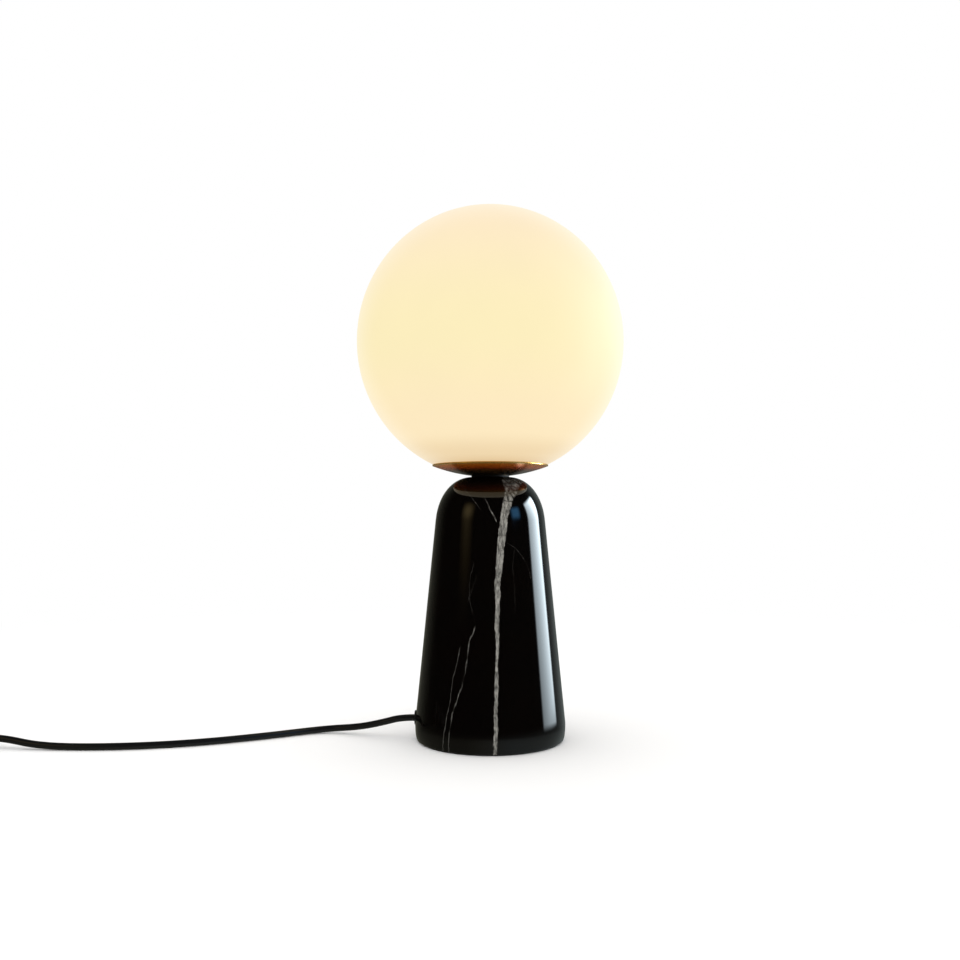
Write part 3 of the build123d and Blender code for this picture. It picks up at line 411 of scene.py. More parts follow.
def foot_outline():
    """A curved edge at the table, a straight taper, and a dome that leans with it."""
    points = [(RECESS_RADIUS, FOOT_LOW)]
    for angle in arc(0, 90, FOOT_EDGE_STEPS):
        across = FOOT_RADIUS + (WALL_RADIUS - FOOT_RADIUS) * sin(angle)
        points.append((across, FOOT_LOW + FOOT_CURVE * (1 - cos(angle))))
    wall_low = FOOT_LOW + FOOT_CURVE
    slope = (WALL_RADIUS - SHOULDER_RADIUS) / (SHOULDER_HEIGHT - wall_low)
    for up in list(spread(wall_low, SHOULDER_HEIGHT, WALL_STEPS))[1:-1]:
        points.append((WALL_RADIUS - slope * (up - wall_low), up))
    # The dome is a quarter of a superellipse, sheared by the wall's slope.
    rise = TOP_HEIGHT - SHOULDER_HEIGHT
    lean = slope * rise
    for angle in arc(0, 90, DOME_STEPS):
        out = max(cos(angle), 0.0) ** (2 / DOME_POWER)
        up = sin(angle) ** (2 / DOME_POWER)
        across = TOP_RADIUS + lean + (SHOULDER_RADIUS - TOP_RADIUS - lean) * out - lean * up
        points.append((across, SHOULDER_HEIGHT + rise * up))
    points += [(TUBE_HOLE, TOP_HEIGHT), (TUBE_HOLE, RECESS_HEIGHT)]
    points.append((RECESS_RADIUS, RECESS_HEIGHT))
    return points


def dish_height(reach, wall=0.0):
    """Height of the dish's underside at a radius, or of its inside."""
    return DISH_LOW + DISH_CURVE - sqrt((DISH_CURVE - wall) ** 2 - reach**2)


def spacer_outline():
    """The plate between the foot and the dish, hollowed to the bowl above."""
    points = [(TUBE_HOLE, TOP_HEIGHT), (SPACER_RADIUS, TOP_HEIGHT)]
    for reach in spread(SPACER_RADIUS, TUBE_HOLE, SPACER_STEPS):
        points.append((reach, dish_height(reach) - SEAT_GAP))
    return points


def dish_outline():
    """The bowl, its turned-up lip with a round edge, and the flat boss inside."""
    points = []
    for reach in spread(TUBE_HOLE, DISH_RADIUS, BOWL_STEPS):
        points.append((reach, dish_height(reach)))
    round_edge = DISH_WALL / 2
    for angle in arc(0, 180, LIP_STEPS):
        across = DISH_RADIUS - round_edge + round_edge * cos(angle)
        points.append((across, RIM_HEIGHT - round_edge + round_edge * sin(angle)))
    for reach in spread(DISH_RADIUS - DISH_WALL, DISH_BOSS, INSIDE_STEPS):
        points.append((reach, dish_height(reach, DISH_WALL)))
    points += [(DISH_BOSS, DISH_BOSS_HEIGHT), (TUBE_HOLE, DISH_BOSS_HEIGHT)]
    return points


def stand_in(piece, node, material):
    """Puts a finer piece in the place of a CAD node, with its finish."""
    piece.data.materials.append(material)
    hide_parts(node)
    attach(piece, "base")


class MarbleSettings(PropertyGroup):
    """What a user may change on the marble foot."""

    stone: FloatVectorProperty(
        name="Stone",
        description="Colour of the black ground",
        subtype="COLOR",
        size=4,
        default=linear("#030303"),
    )
    vein: FloatVectorProperty(
        name="Vein",
        description="Colour of the calcite in the veins",
        subtype="COLOR",
        size=4,
        default=linear("#A09E97"),
    )
    jag: FloatProperty(
        name="Vein Jag",
        description="How far the edge of the main vein wanders",
        subtype="DISTANCE",
        default=0.006,
    )


class BrassSettings(PropertyGroup):
    """What a user may change on the spun brass."""

    colour: FloatVectorProperty(
        name="Brass",
        description="Colour of the satin brass",
        subtype="COLOR",
        size=4,
        default=linear("#CFA456"),
    )
    line_step: FloatProperty(
        name="Line Step",
        description="Distance between the turning lines",
        subtype="DISTANCE",
        default=0.0006,
    )


class GlobeSettings(PropertyGroup):
    """What a user may change on the lit opal glass."""

    middle: FloatVectorProperty(
        name="Middle",
        description="Glow of the glass level with the bulb",
        subtype="COLOR",
        size=4,
        default=linear("#EDDEAB"),
    )
    top: FloatVectorProperty(
        name="Top",
        description="Glow of the glass at the top",
        subtype="COLOR",
        size=4,
        default=linear("#EED8B6"),
    )
    low: FloatVectorProperty(
        name="Low",
        description="Glow of the glass below the bulb",
        subtype="COLOR",
        size=4,
        default=linear("#EFDAB0"),
    )
    bottom: FloatVectorProperty(
        name="Bottom",
        description="Glow of the glass at the dish",
        subtype="COLOR",
        size=4,
        default=linear("#D6B686"),
    )
    strength: FloatProperty(
        name="Strength",
        description="Brightness of the lit glass",
        default=1.0,
        min=0.0,
    )


class CordSettings(PropertyGroup):
    """What a user may change on the mains cord."""

    diameter: FloatProperty(
        name="Diameter",
        description="Outer diameter of the cord's jacket",
        subtype="DISTANCE",
        default=0.0052,
    )
    length: FloatProperty(
        name="Length",
        description="Length from the foot to the plug",
        subtype="DISTANCE",
        default=1.771,
    )
    roundness: IntProperty(
        name="Roundness",
        description="Steps round a quarter of the jacket",
        default=6,
        min=2,
    )


class StageSettings(PropertyGroup):
    """What a user may change on the studio."""

    floor_side: FloatProperty(
        name="Floor Side",
        description="Side of the square floor",
        subtype="DISTANCE",
        default=60.0,
    )
    room_light: FloatProperty(
        name="Room Light",
        description="Brightness of the even light from all round",
        default=1.25,
        min=0.0,
    )
    window: FloatProperty(
        name="Window",
        description="Brightness of the window panel on the right",
        default=17.0,
        min=0.0,
    )


def vein_mask(tree, axes, height, wander, gaps, vein, jag):
    """Returns a socket that is 1 inside one vein of the marble and 0 outside it."""
    # Two curves hold the vein's offset and its width against the height.
    plots = []
    for column, span, middle, handle in (
        (1, 2 * VEIN_REACH, 0.5, "AUTO_CLAMPED"),
        (2, VEIN_SPAN, 0.0, "VECTOR"),
    ):
        curve = add_node(tree, "ShaderNodeFloatCurve", links={"Value": height})
        line = curve.mapping.curves[0]
        spots = [
            (row[0] * MM / FOOT_HEIGHT, row[column] * MM / span + middle)
            for row in vein.course
        ]
        line.points[0].location = spots[0]
        line.points[1].location = spots[-1]
        for spot in spots[1:-1]:
            line.points.new(*spot)
        for point in line.points:
            point.handle_type = handle
        curve.mapping.update()
        plots.append(curve.outputs[0])
    offset, width = plots
    throw = vein.broken * jag
    across = add_node(
        tree,
        "ShaderNodeMath",
        {1: -vein.lean},
        {0: axes["Y"], 2: axes["X"]},
        operation="MULTIPLY_ADD",
    ).outputs[0]
    shaken = add_node(
        tree,
        "ShaderNodeMath",
        {1: throw},
        {0: wander, 2: across},
        operation="MULTIPLY_ADD",
    ).outputs[0]
    centre = add_node(
        tree,
        "ShaderNodeMapRange",
        {"To Min": throw / 2 - VEIN_REACH, "To Max": throw / 2 + VEIN_REACH},
        {"Value": offset},
        clamp=False,
    ).outputs[0]
    away = add_node(
        tree, "ShaderNodeMath", links={0: shaken, 1: centre}, operation="SUBTRACT"
    ).outputs[0]
    distance = add_node(
        tree, "ShaderNodeMath", links={0: away}, operation="ABSOLUTE"
    ).outputs[0]
    inside = add_node(
        tree,
        "ShaderNodeMath",
        {1: VEIN_SPAN / 2},
        {0: width},
        operation="MULTIPLY",
    ).outputs[0]
    depth = add_node(
        tree, "ShaderNodeMath", links={0: inside, 1: distance}, operation="SUBTRACT"
    ).outputs[0]
    mask = add_node(
        tree,
        "ShaderNodeMapRange",
        {
            "From Min": VEIN_FADE[0] * MM,
            "From Max": VEIN_FADE[1] * MM,
            "To Max": vein.pale,
        },
        {"Value": depth},
    ).outputs[0]
    if vein.pale == 1.0:
        return mask
    # Only the main vein is unbroken; the paler ones have gaps.
    return add_node(
        tree, "ShaderNodeMath", links={0: mask, 1: gaps}, operation="MULTIPLY"
    ).outputs[0]


def polished_black_marble(settings):
    """Polished black limestone with calcite veins.

    The polish gives sharp, dim mirror images on a nearly black ground, and the
    veins are pale grey sheets, a little duller than the ground.
    """
    made, tree = blank_material("polished black marble")
    place = add_node(tree, "ShaderNodeTexCoord").outputs["Object"]
    axes = add_node(tree, "ShaderNodeSeparateXYZ", links={0: place}).outputs
    height = add_node(
        tree,
        "ShaderNodeMath",
        {1: 1 / FOOT_HEIGHT},
        {0: axes["Z"]},
        operation="MULTIPLY",
    ).outputs[0]
    # The broken edge of a vein has steps 3 to 10 mm long, drawn out along it.
    along = add_node(
        tree, "ShaderNodeMapping", {"Scale": (1.0, 1.0, 0.45)}, {"Vector": place}
    ).outputs[0]
    wander = add_node(
        tree,
        "ShaderNodeTexNoise",
        {"Scale": texture_scale(VEIN_STEP), "Detail": 9.0, "Roughness": 0.75},
        {"Vector": along},
    ).outputs["Fac"]
    # Thin veins come and go along their length, every 5 to 20 mm.
    patches = add_node(
        tree,
        "ShaderNodeTexNoise",
        {"Scale": texture_scale(VEIN_PATCH), "Detail": 5.0, "Roughness": 0.6},
        {"Vector": place},
    ).outputs["Fac"]
    gaps = add_node(
        tree,
        "ShaderNodeMapRange",
        {"From Min": 0.4, "From Max": 0.6, "To Min": 0.2, "To Max": 1.3},
        {"Value": patches},
    ).outputs[0]
    light = None
    for vein in VEINS:
        mask = vein_mask(tree, axes, height, wander, gaps, vein, settings.jag)
        if light is not None:
            mask = add_node(
                tree, "ShaderNodeMath", links={0: light, 1: mask}, operation="MAXIMUM"
            ).outputs[0]
        light = mask
    # Crystals in a vein are about 2 mm wide and 6 mm long, pale and dark mixed.
    streaks = add_node(
        tree, "ShaderNodeMapping", {"Scale": (1.0, 1.0, 0.28)}, {"Vector": place}
    ).outputs[0]
    crystals = add_node(
        tree,
        "ShaderNodeTexNoise",
        {"Scale": texture_scale(CRYSTAL), "Detail": 6.0, "Roughness": 0.75},
        {"Vector": streaks},
    ).outputs["Fac"]
    tone = add_node(
        tree,
        "ShaderNodeMapRange",
        {"From Min": 0.38, "From Max": 0.62, "To Min": 0.16, "To Max": 0.95},
        {"Value": crystals},
    ).outputs[0]
    # Black cracks run through the vein, and shatter it near the top of the foot.
    shards = add_node(
        tree,
        "ShaderNodeTexVoronoi",
        {"Scale": texture_scale(SHARD)},
        {"Vector": place},
        feature="DISTANCE_TO_EDGE",
    ).outputs["Distance"]
    shattered = add_node(
        tree,
        "ShaderNodeMapRange",
        {"From Min": 0.9, "From Max": 0.95, "To Min": 0.02, "To Max": 0.6},
        {"Value": height},
    ).outputs[0]
    crack = add_node(
        tree,
        "ShaderNodeMapRange",
        {"From Min": 0.0, "To Min": 0.1},
        {"Value": shards, "From Max": shattered},
    ).outputs[0]
    whole = add_node(
        tree, "ShaderNodeMath", links={0: tone, 1: crack}, operation="MULTIPLY"
    ).outputs[0]
    share = add_node(
        tree, "ShaderNodeMath", links={0: light, 1: whole}, operation="MULTIPLY"
    ).outputs[0]
    # Brown clouds, about 40 mm wide, that only just show in the ground.
    clouds = add_node(
        tree,
        "ShaderNodeTexNoise",
        {"Scale": texture_scale(BROWN_CLOUD), "Detail": 4.0},
        {"Vector": place},
    ).outputs["Fac"]
    ground = add_node(
        tree,
        "ShaderNodeMix",
        {"A": settings.stone, "B": linear("#060302")},
        {"Factor": clouds},
        data_type="RGBA",
    )
    colour = add_node(
        tree,
        "ShaderNodeMix",
        {"B": settings.vein},
        {"Factor": share, "A": ground.outputs["Result"]},
        data_type="RGBA",
    )
    gloss = add_node(
        tree,
        "ShaderNodeMapRange",
        {"To Min": 0.06, "To Max": 0.24},
        {"Value": share},
    ).outputs[0]
    shader = add_node(
        tree,
        "ShaderNodeBsdfPrincipled",
        {"IOR": 1.46},
        {"Base Color": colour.outputs["Result"], "Roughness": gloss},
    )
    show_shader(tree, shader)
    return made


def satin_spun_brass(settings):
    """Brass spun on a lathe and brushed to satin.

    The turning lines run round the dish, so reflections smear across them into
    soft bands, and the tone shifts a little from line to line.
    """
    made, tree = blank_material("satin spun brass")
    place = add_node(tree, "ShaderNodeTexCoord").outputs["Object"]
    # Stretched round the axis: only the distance from it and the height count.
    axes = add_node(tree, "ShaderNodeSeparateXYZ", links={0: place}).outputs
    flat = add_node(
        tree, "ShaderNodeCombineXYZ", links={"X": axes["X"], "Y": axes["Y"]}
    ).outputs[0]
    reach = add_node(
        tree, "ShaderNodeVectorMath", links={0: flat}, operation="LENGTH"
    ).outputs["Value"]
    ring = add_node(
        tree, "ShaderNodeCombineXYZ", links={"X": reach, "Y": axes["Z"]}
    ).outputs[0]
    lines = add_node(
        tree,
        "ShaderNodeTexNoise",
        {"Scale": 1 / settings.line_step, "Detail": 3.0},
        {"Vector": ring},
    ).outputs["Fac"]
    fade = add_node(
        tree, "ShaderNodeMapRange", {"To Max": 0.3}, {"Value": lines}
    ).outputs[0]
    marks = add_node(
        tree,
        "ShaderNodeTexNoise",
        {"Scale": texture_scale(HANDLING_MARK), "Detail": 5.0},
        {"Vector": place},
    ).outputs["Fac"]
    # Painted shade and a painted warm reflection: under the dish the colour runs from the
    # brass at the rim through copper to nearly black at the neck, in place of the globe's
    # warm light and the marble top's shade.
    inward = add_node(
        tree,
        "ShaderNodeMapRange",
        {"From Min": UNDERSIDE_SHADE_REACH[0] * MM, "From Max": UNDERSIDE_SHADE_REACH[1] * MM},
        {"Value": reach},
    ).outputs[0]
    painted_shade_ramp = add_node(tree, "ShaderNodeValToRGB", links={"Fac": inward})
    first, last = painted_shade_ramp.color_ramp.elements
    first.color, last.color = linear(UNDERSIDE_SHADE[0][1]), settings.colour
    for share, colour in UNDERSIDE_SHADE[1:]:
        painted_shade_ramp.color_ramp.elements.new(share).color = linear(colour)
    shaded_brass = painted_shade_ramp.outputs["Color"]
    tone = add_node(
        tree,
        "ShaderNodeMix",
        {"B": linear("#C89448")},
        {"Factor": fade, "A": shaded_brass},
        data_type="RGBA",
    )
    blur = add_node(
        tree,
        "ShaderNodeMapRange",
        {"From Min": 0.3, "From Max": 0.7, "To Min": 0.2, "To Max": 0.25},
        {"Value": marks},
    ).outputs[0]
    bump = add_node(
        tree,
        "ShaderNodeBump",
        {"Strength": 0.12, "Distance": 0.05 * MM},
        {"Height": lines},
    )
    around = add_node(tree, "ShaderNodeTangent", direction_type="RADIAL", axis="Z")
    shader = add_node(
        tree,
        "ShaderNodeBsdfPrincipled",
        {"Metallic": 0.74, "Anisotropic": 0.4},
        {
            "Base Color": tone.outputs["Result"],
            "Roughness": blur,
            "Normal": bump.outputs[0],
            "Tangent": around.outputs[0],
        },
    )
    show_shader(tree, shader)
    return made


def lit_opal_glass(settings):
    """Cased opal glass, blown and acid-etched to satin, with the bulb on inside.

    The white layer hides the bulb and glows an even warm cream, dimmer and
    greyer towards the opening, with faint clouds where the casing varies.
    """
    made, tree = blank_material("lit satin opal glass")
    place = add_node(tree, "ShaderNodeTexCoord").outputs["Object"]
    axes = add_node(tree, "ShaderNodeSeparateXYZ", links={0: place}).outputs
    low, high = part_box("glass_globe")
    rise = add_node(
        tree,
        "ShaderNodeMapRange",
        {"From Min": low.z, "From Max": high.z},
        {"Value": axes["Z"]},
    ).outputs[0]
    glow = add_node(tree, "ShaderNodeValToRGB", links={"Fac": rise})
    glow.color_ramp.interpolation = "EASE"
    first, last = glow.color_ramp.elements
    first.color, last.color = settings.bottom, settings.top
    # The stops are shares of the ball's height, the first ones close to the dish.
    near = [(a + b) / 2 for a, b in zip(settings.bottom, settings.low)]
    for share, colour in ((0.035, near), (0.11, settings.low), (0.45, settings.middle)):
        glow.color_ramp.elements.new(share).color = colour
    # The casing is thicker and thinner in soft clouds, about 60 mm wide.
    clouds = add_node(
        tree,
        "ShaderNodeTexNoise",
        {"Scale": texture_scale(GLASS_CLOUD), "Detail": 2.0},
        {"Vector": place},
    ).outputs["Fac"]
    waver = add_node(
        tree,
        "ShaderNodeMapRange",
        {"To Min": 0.97 * settings.strength, "To Max": 1.03 * settings.strength},
        {"Value": clouds},
    ).outputs[0]
    # The etched skin has a grain of about 0.4 mm.
    grain = add_node(
        tree,
        "ShaderNodeTexNoise",
        {"Scale": texture_scale(GLASS_GRAIN), "Detail": 2.0},
        {"Vector": place},
    ).outputs["Fac"]
    bump = add_node(
        tree,
        "ShaderNodeBump",
        {"Strength": 0.05, "Distance": 0.05 * MM},
        {"Height": grain},
    )
    # Painted reflection: the glow is whitened towards the edge of the ball, in place of the
    # white light that the clear casing reflects there.
    facing = add_node(tree, "ShaderNodeLayerWeight", {"Blend": 0.5}).outputs["Facing"]
    edge = add_node(
        tree,
        "ShaderNodeMapRange",
        {"From Min": 0.45, "From Max": 1.0, "To Max": 0.5},
        {"Value": facing},
        interpolation_type="SMOOTHSTEP",
    ).outputs[0]
    lit = add_node(
        tree,
        "ShaderNodeMix",
        {"B": linear("#F6EEDC")},
        {"Factor": edge, "A": glow.outputs["Color"]},
        data_type="RGBA",
    )
    shader = add_node(
        tree,
        "ShaderNodeBsdfPrincipled",
        {
            "Base Color": linear("#605E58"),
            "Roughness": 0.7,
            "Specular IOR Level": 0.3,
            "IOR": 1.5,
        },
        {
            "Emission Color": lit.outputs["Result"],
            "Emission Strength": waver,
            "Normal": bump.outputs[0],
        },
    )
    show_shader(tree, shader)
    return made


def moulded(name, tone, worn, grit, rough, glow=0.0, **sockets):
    """Any moulded, pressed or extruded plain stuff with a fine grain.

    The tone drifts to a second one in soft clouds, and the grain, drawn as
    coarse as it needs to show, breaks up the gloss. The grit is in mm.
    """
    made, tree = blank_material(name)
    place = add_node(tree, "ShaderNodeTexCoord").outputs["Object"]
    clouds = add_node(
        tree,
        "ShaderNodeTexNoise",
        {"Scale": texture_scale(5 * grit), "Detail": 4.0},
        {"Vector": place},
    ).outputs["Fac"]
    colour = add_node(
        tree,
        "ShaderNodeMix",
        {"A": linear(tone), "B": linear(worn)},
        {"Factor": clouds},
        data_type="RGBA",
    ).outputs["Result"]
    grain = add_node(
        tree,
        "ShaderNodeTexNoise",
        {"Scale": texture_scale(grit), "Detail": 3.0},
        {"Vector": place},
    ).outputs["Fac"]
    blur = add_node(
        tree,
        "ShaderNodeMapRange",
        {"To Min": rough - 0.08, "To Max": rough + 0.08},
        {"Value": grain},
    ).outputs[0]
    bump = add_node(
        tree,
        "ShaderNodeBump",
        {"Strength": 0.2, "Distance": grit * MM / 8},
        {"Height": grain},
    )
    links = {"Base Color": colour, "Roughness": blur, "Normal": bump.outputs[0]}
    if glow:
        links["Emission Color"] = colour
        sockets["Emission Strength"] = glow
    shader = add_node(tree, "ShaderNodeBsdfPrincipled", sockets, links)
    show_shader(tree, shader)
    return made


class LAMP_OT_cord(Operator):
    """Lays the mains cord from the foot through the switch and coil to the plug"""

    bl_idname = "lamp.cord"
    bl_label = "Mains Cord"

    def execute(self, context):
        settings = context.scene.lamp_cord
        count = int(COIL_TURNS * POINTS_PER_TURN)
        # Points outside the wound line, so that the line itself has its radius.
        outward = 1 / cos(pi / POINTS_PER_TURN)
        coil = []
        for index in range(count):
            turn = (index + 0.5) / POINTS_PER_TURN
            layer = min(turn, COIL_TURNS - turn)
            radius = (COIL_RADIUS - COIL_PITCH * layer) * outward
            climb = min(max(2 * (turn - COIL_TURNS / 2) + 0.5, 0), 1)
            angle = pi + 2 * pi * turn
            coil.append(
                (
                    COIL_MIDDLE[0] + radius * cos(angle),
                    COIL_MIDDLE[1] + radius * sin(angle),
                    COIL_FLOOR + COIL_PITCH * climb**2 * (3 - 2 * climb),
                )
            )
        route = TO_SWITCH + TO_COIL + coil + TO_PLUG
        data = bpy.data.curves.new("mains_cord", "CURVE")
        data.dimensions = "3D"
        data.resolution_u = 6
        data.bevel_depth = settings.diameter / 2
        data.bevel_resolution = settings.roundness
        data.use_fill_caps = True
        line = data.splines.new("NURBS")
        line.points.add(len(route) - 1)
        for point, spot in zip(line.points, route):
            point.co = (*spot, 1.0)
        line.order_u = 3
        line.use_endpoint_u = True
        line.use_smooth = True
        cord = bpy.data.objects.new("mains_cord", data)
        context.scene.collection.objects.link(cord)
        # Extruded PVC: smooth, with a soft sheen and a faint drag of the die.
        jacket = moulded("extruded black PVC", "#0C0C0D", "#141415", 0.8, 0.36, IOR=1.53)
        data.materials.append(jacket)
        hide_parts("lead_cord", "switch_cord", "cord_coil", "plug_cord")
        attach(cord, "base")
        return {"FINISHED"}


class LAMP_OT_marble_foot(Operator):
    """Turns the marble foot and the spacer on it, and finishes the pad below"""

    bl_idname = "lamp.marble_foot"
    bl_label = "Marble Foot"

    def execute(self, context):
        foot = lathe("marble_foot", foot_outline())
        drill(foot, CORD_HOLE, 0)
        drill(foot, SPOT_FACE_RADIUS, -SPOT_FACE_REACH)
        marble = polished_black_marble(context.scene.lamp_marble)
        stand_in(foot, "marble_base", marble)
        # Needle felt: matt, with short fibres.
        felt = moulded("needle felt", "#0E0E0E", "#1C1B1A", 0.6, 0.9)
        dress(felt, "base_felt_pad")
        # Turned acetal: dull and nearly black.
        spacer = lathe("neck_plate", spacer_outline())
        acetal = moulded("turned black acetal", "#050505", "#0A0A0A", 0.8, 0.7)
        stand_in(spacer, "neck_spacer", acetal)
        return {"FINISHED"}


class LAMP_OT_brass_dish(Operator):
    """Spins the brass dish and finishes it"""

    bl_idname = "lamp.brass_dish"
    bl_label = "Brass Dish"

    def execute(self, context):
        dish = lathe("spun_dish", dish_outline())
        brass = satin_spun_brass(context.scene.lamp_brass)
        stand_in(dish, "brass_dish", brass)
        return {"FINISHED"}


class LAMP_OT_glass_globe(Operator):
    """Finishes the lit opal globe and its gasket"""

    bl_idname = "lamp.glass_globe"
    bl_label = "Glass Globe"

    def execute(self, context):
        dress(lit_opal_glass(context.scene.lamp_globe), "glass_globe")
        # Moulded silicone: cloudy through its thickness, with a soft gloss.
        silicone = moulded("cloudy silicone", "#C9C6BE", "#D8D5CE", 1.0, 0.45, IOR=1.41)
        dress(silicone, "globe_gasket")
        return {"FINISHED"}


class LAMP_OT_lampholder(Operator):
    """Finishes the lampholder and the bulb inside the globe"""

    bl_idname = "lamp.lampholder"
    bl_label = "Lampholder and Bulb"

    def execute(self, context):
        # Glass-filled polyester: dull black with a fine pitted skin.
        holder = moulded("moulded black polyester", "#101011", "#1B1B1C", 0.8, 0.48)
        dress(holder, "lampholder_cap", "lampholder_body")
        # Glazed porcelain: white with a wet gloss.
        porcelain = moulded("glazed porcelain", "#E9E6DD", "#DEDACE", 2.0, 0.14)
        dress(porcelain, "terminal_block")
        # Turned brass, brighter than the dish and never lacquered.
        brass = moulded(
            "bright turned brass", "#E0B567", "#C89C50", 0.8, 0.22, Metallic=1.0
        )
        dress(brass, "thread_shell", "centre_contact", "terminal_screws")
        # Extruded PVC: the two wires have a plain satin skin.
        brown = moulded("brown wire PVC", "#4A2A16", "#583420", 0.8, 0.4)
        dress(brown, "live_wire")
        blue = moulded("blue wire PVC", "#1D4E9A", "#2559A8", 0.8, 0.4)
        dress(blue, "neutral_wire")
        # Frosted polycarbonate, lit from inside.
        frosted = moulded(
            "frosted polycarbonate", "#F2DCB0", "#EED4A2", 2.0, 0.45, glow=0.8
        )
        dress(frosted, "bulb_diffuser")
        # Moulded PBT: an even white with a low gloss.
        housing = moulded("white moulded PBT", "#E4E3E0", "#D8D7D3", 1.0, 0.4)
        dress(housing, "bulb_housing")
        # Nickel plate: a warm grey mirror, a little blurred by rolling.
        nickel = moulded(
            "nickel-plated brass", "#C9C5BC", "#B4AFA5", 0.8, 0.2, Metallic=1.0
        )
        dress(nickel, "bulb_cap", "bulb_tip_contact")
        # Pressed glass: black with a sharp gloss.
        glass = moulded("black glass", "#0B0A0C", "#131115", 1.0, 0.1)
        dress(glass, "bulb_insulator")
        return {"FINISHED"}


class LAMP_OT_clamping_parts(Operator):
    """Finishes the threaded tube, washers, nuts and the springs"""

    bl_idname = "lamp.clamping_parts"
    bl_label = "Clamping Parts"

    def execute(self, context):
        # Zinc plate: a bluish grey with a soft metal gloss.
        zinc = moulded("zinc-plated steel", "#A9ABB0", "#8D9096", 1.0, 0.34, Metallic=1.0)
        dress(
            zinc,
            "threaded_tube",
            "bottom_washer",
            "bottom_lock_washer",
            "bottom_nut",
            "dish_nut",
        )
        # Tempered strip steel: darker and bluer, smooth from the rolls.
        spring = moulded(
            "blued spring steel", "#7C8088", "#676B74", 0.8, 0.26, Metallic=1.0
        )
        dress(spring, "globe_springs")
        return {"FINISHED"}


class LAMP_OT_cord_fittings(Operator):
    """Finishes the grommet, the collar and the cord inside the foot"""

    bl_idname = "lamp.cord_fittings"
    bl_label = "Cord Fittings"

    def execute(self, context):
        # Moulded nylon with a soft gloss.
        nylon = moulded("moulded black nylon", "#0B0B0C", "#151516", 0.8, 0.36)
        dress(nylon, "cord_grommet", "cord_collar")
        # The same extruded PVC as the cord outside.
        jacket = moulded("inner black PVC", "#0C0C0D", "#141415", 0.8, 0.38)
        dress(jacket, "inner_cord")
        return {"FINISHED"}


class LAMP_OT_cord_switch(Operator):
    """Finishes the rocker switch in the cord"""

    bl_idname = "lamp.cord_switch"
    bl_label = "Cord Switch"

    def execute(self, context):
        # Spark-eroded ABS: an even fine grain with a low gloss.
        case = moulded("spark-eroded black ABS", "#0E0E0F", "#181819", 0.7, 0.46)
        dress(case, "switch_lower_case", "switch_upper_case")
        # Polished ABS: the rocker is glossier than the case round it.
        rocker = moulded("polished black ABS", "#0A0A0B", "#121213", 1.0, 0.22)
        dress(rocker, "switch_rocker")
        # Zinc plate on small turned pieces: a bright bluish grey.
        steel = moulded(
            "zinc-plated screw steel", "#B0B2B6", "#94979C", 0.8, 0.3, Metallic=1.0
        )
        dress(steel, "switch_pivot_pin", "switch_screws")
        # Stamped brass: yellow, with the dull gloss of rolled sheet.
        contact = moulded(
            "stamped contact brass", "#D8AE66", "#BE924C", 0.8, 0.28, Metallic=1.0
        )
        dress(contact, "switch_terminals", "switch_blade")
        # Extruded PVC: a plain satin skin.
        brown = moulded("brown switch wire PVC", "#4A2A16", "#583420", 0.8, 0.4)
        dress(brown, "switch_wires")
        return {"FINISHED"}


class LAMP_OT_plug(Operator):
    """Finishes the two-pin plug and the tie round the coil"""

    bl_idname = "lamp.plug"
    bl_label = "Plug and Tie"

    def execute(self, context):
        # Overmoulded soft PVC: satin, with a faint orange-peel skin.
        soft = moulded("overmoulded black PVC", "#0D0D0E", "#171718", 0.9, 0.42)
        dress(soft, "plug_body", "plug_boot", "cord_tie")
        # Nickel plate: the brightest metal here, worn smooth by the socket.
        pins = moulded(
            "nickel-plated pins", "#CFCBC2", "#B9B4AA", 0.8, 0.18, Metallic=1.0
        )
        dress(pins, "plug_pins")
        # Moulded sleeves: as black as the plug and a little smoother.
        sleeves = moulded("black pin sleeves", "#0D0D0E", "#171718", 0.7, 0.4)
        dress(sleeves, "plug_pin_sleeves")
        return {"FINISHED"}


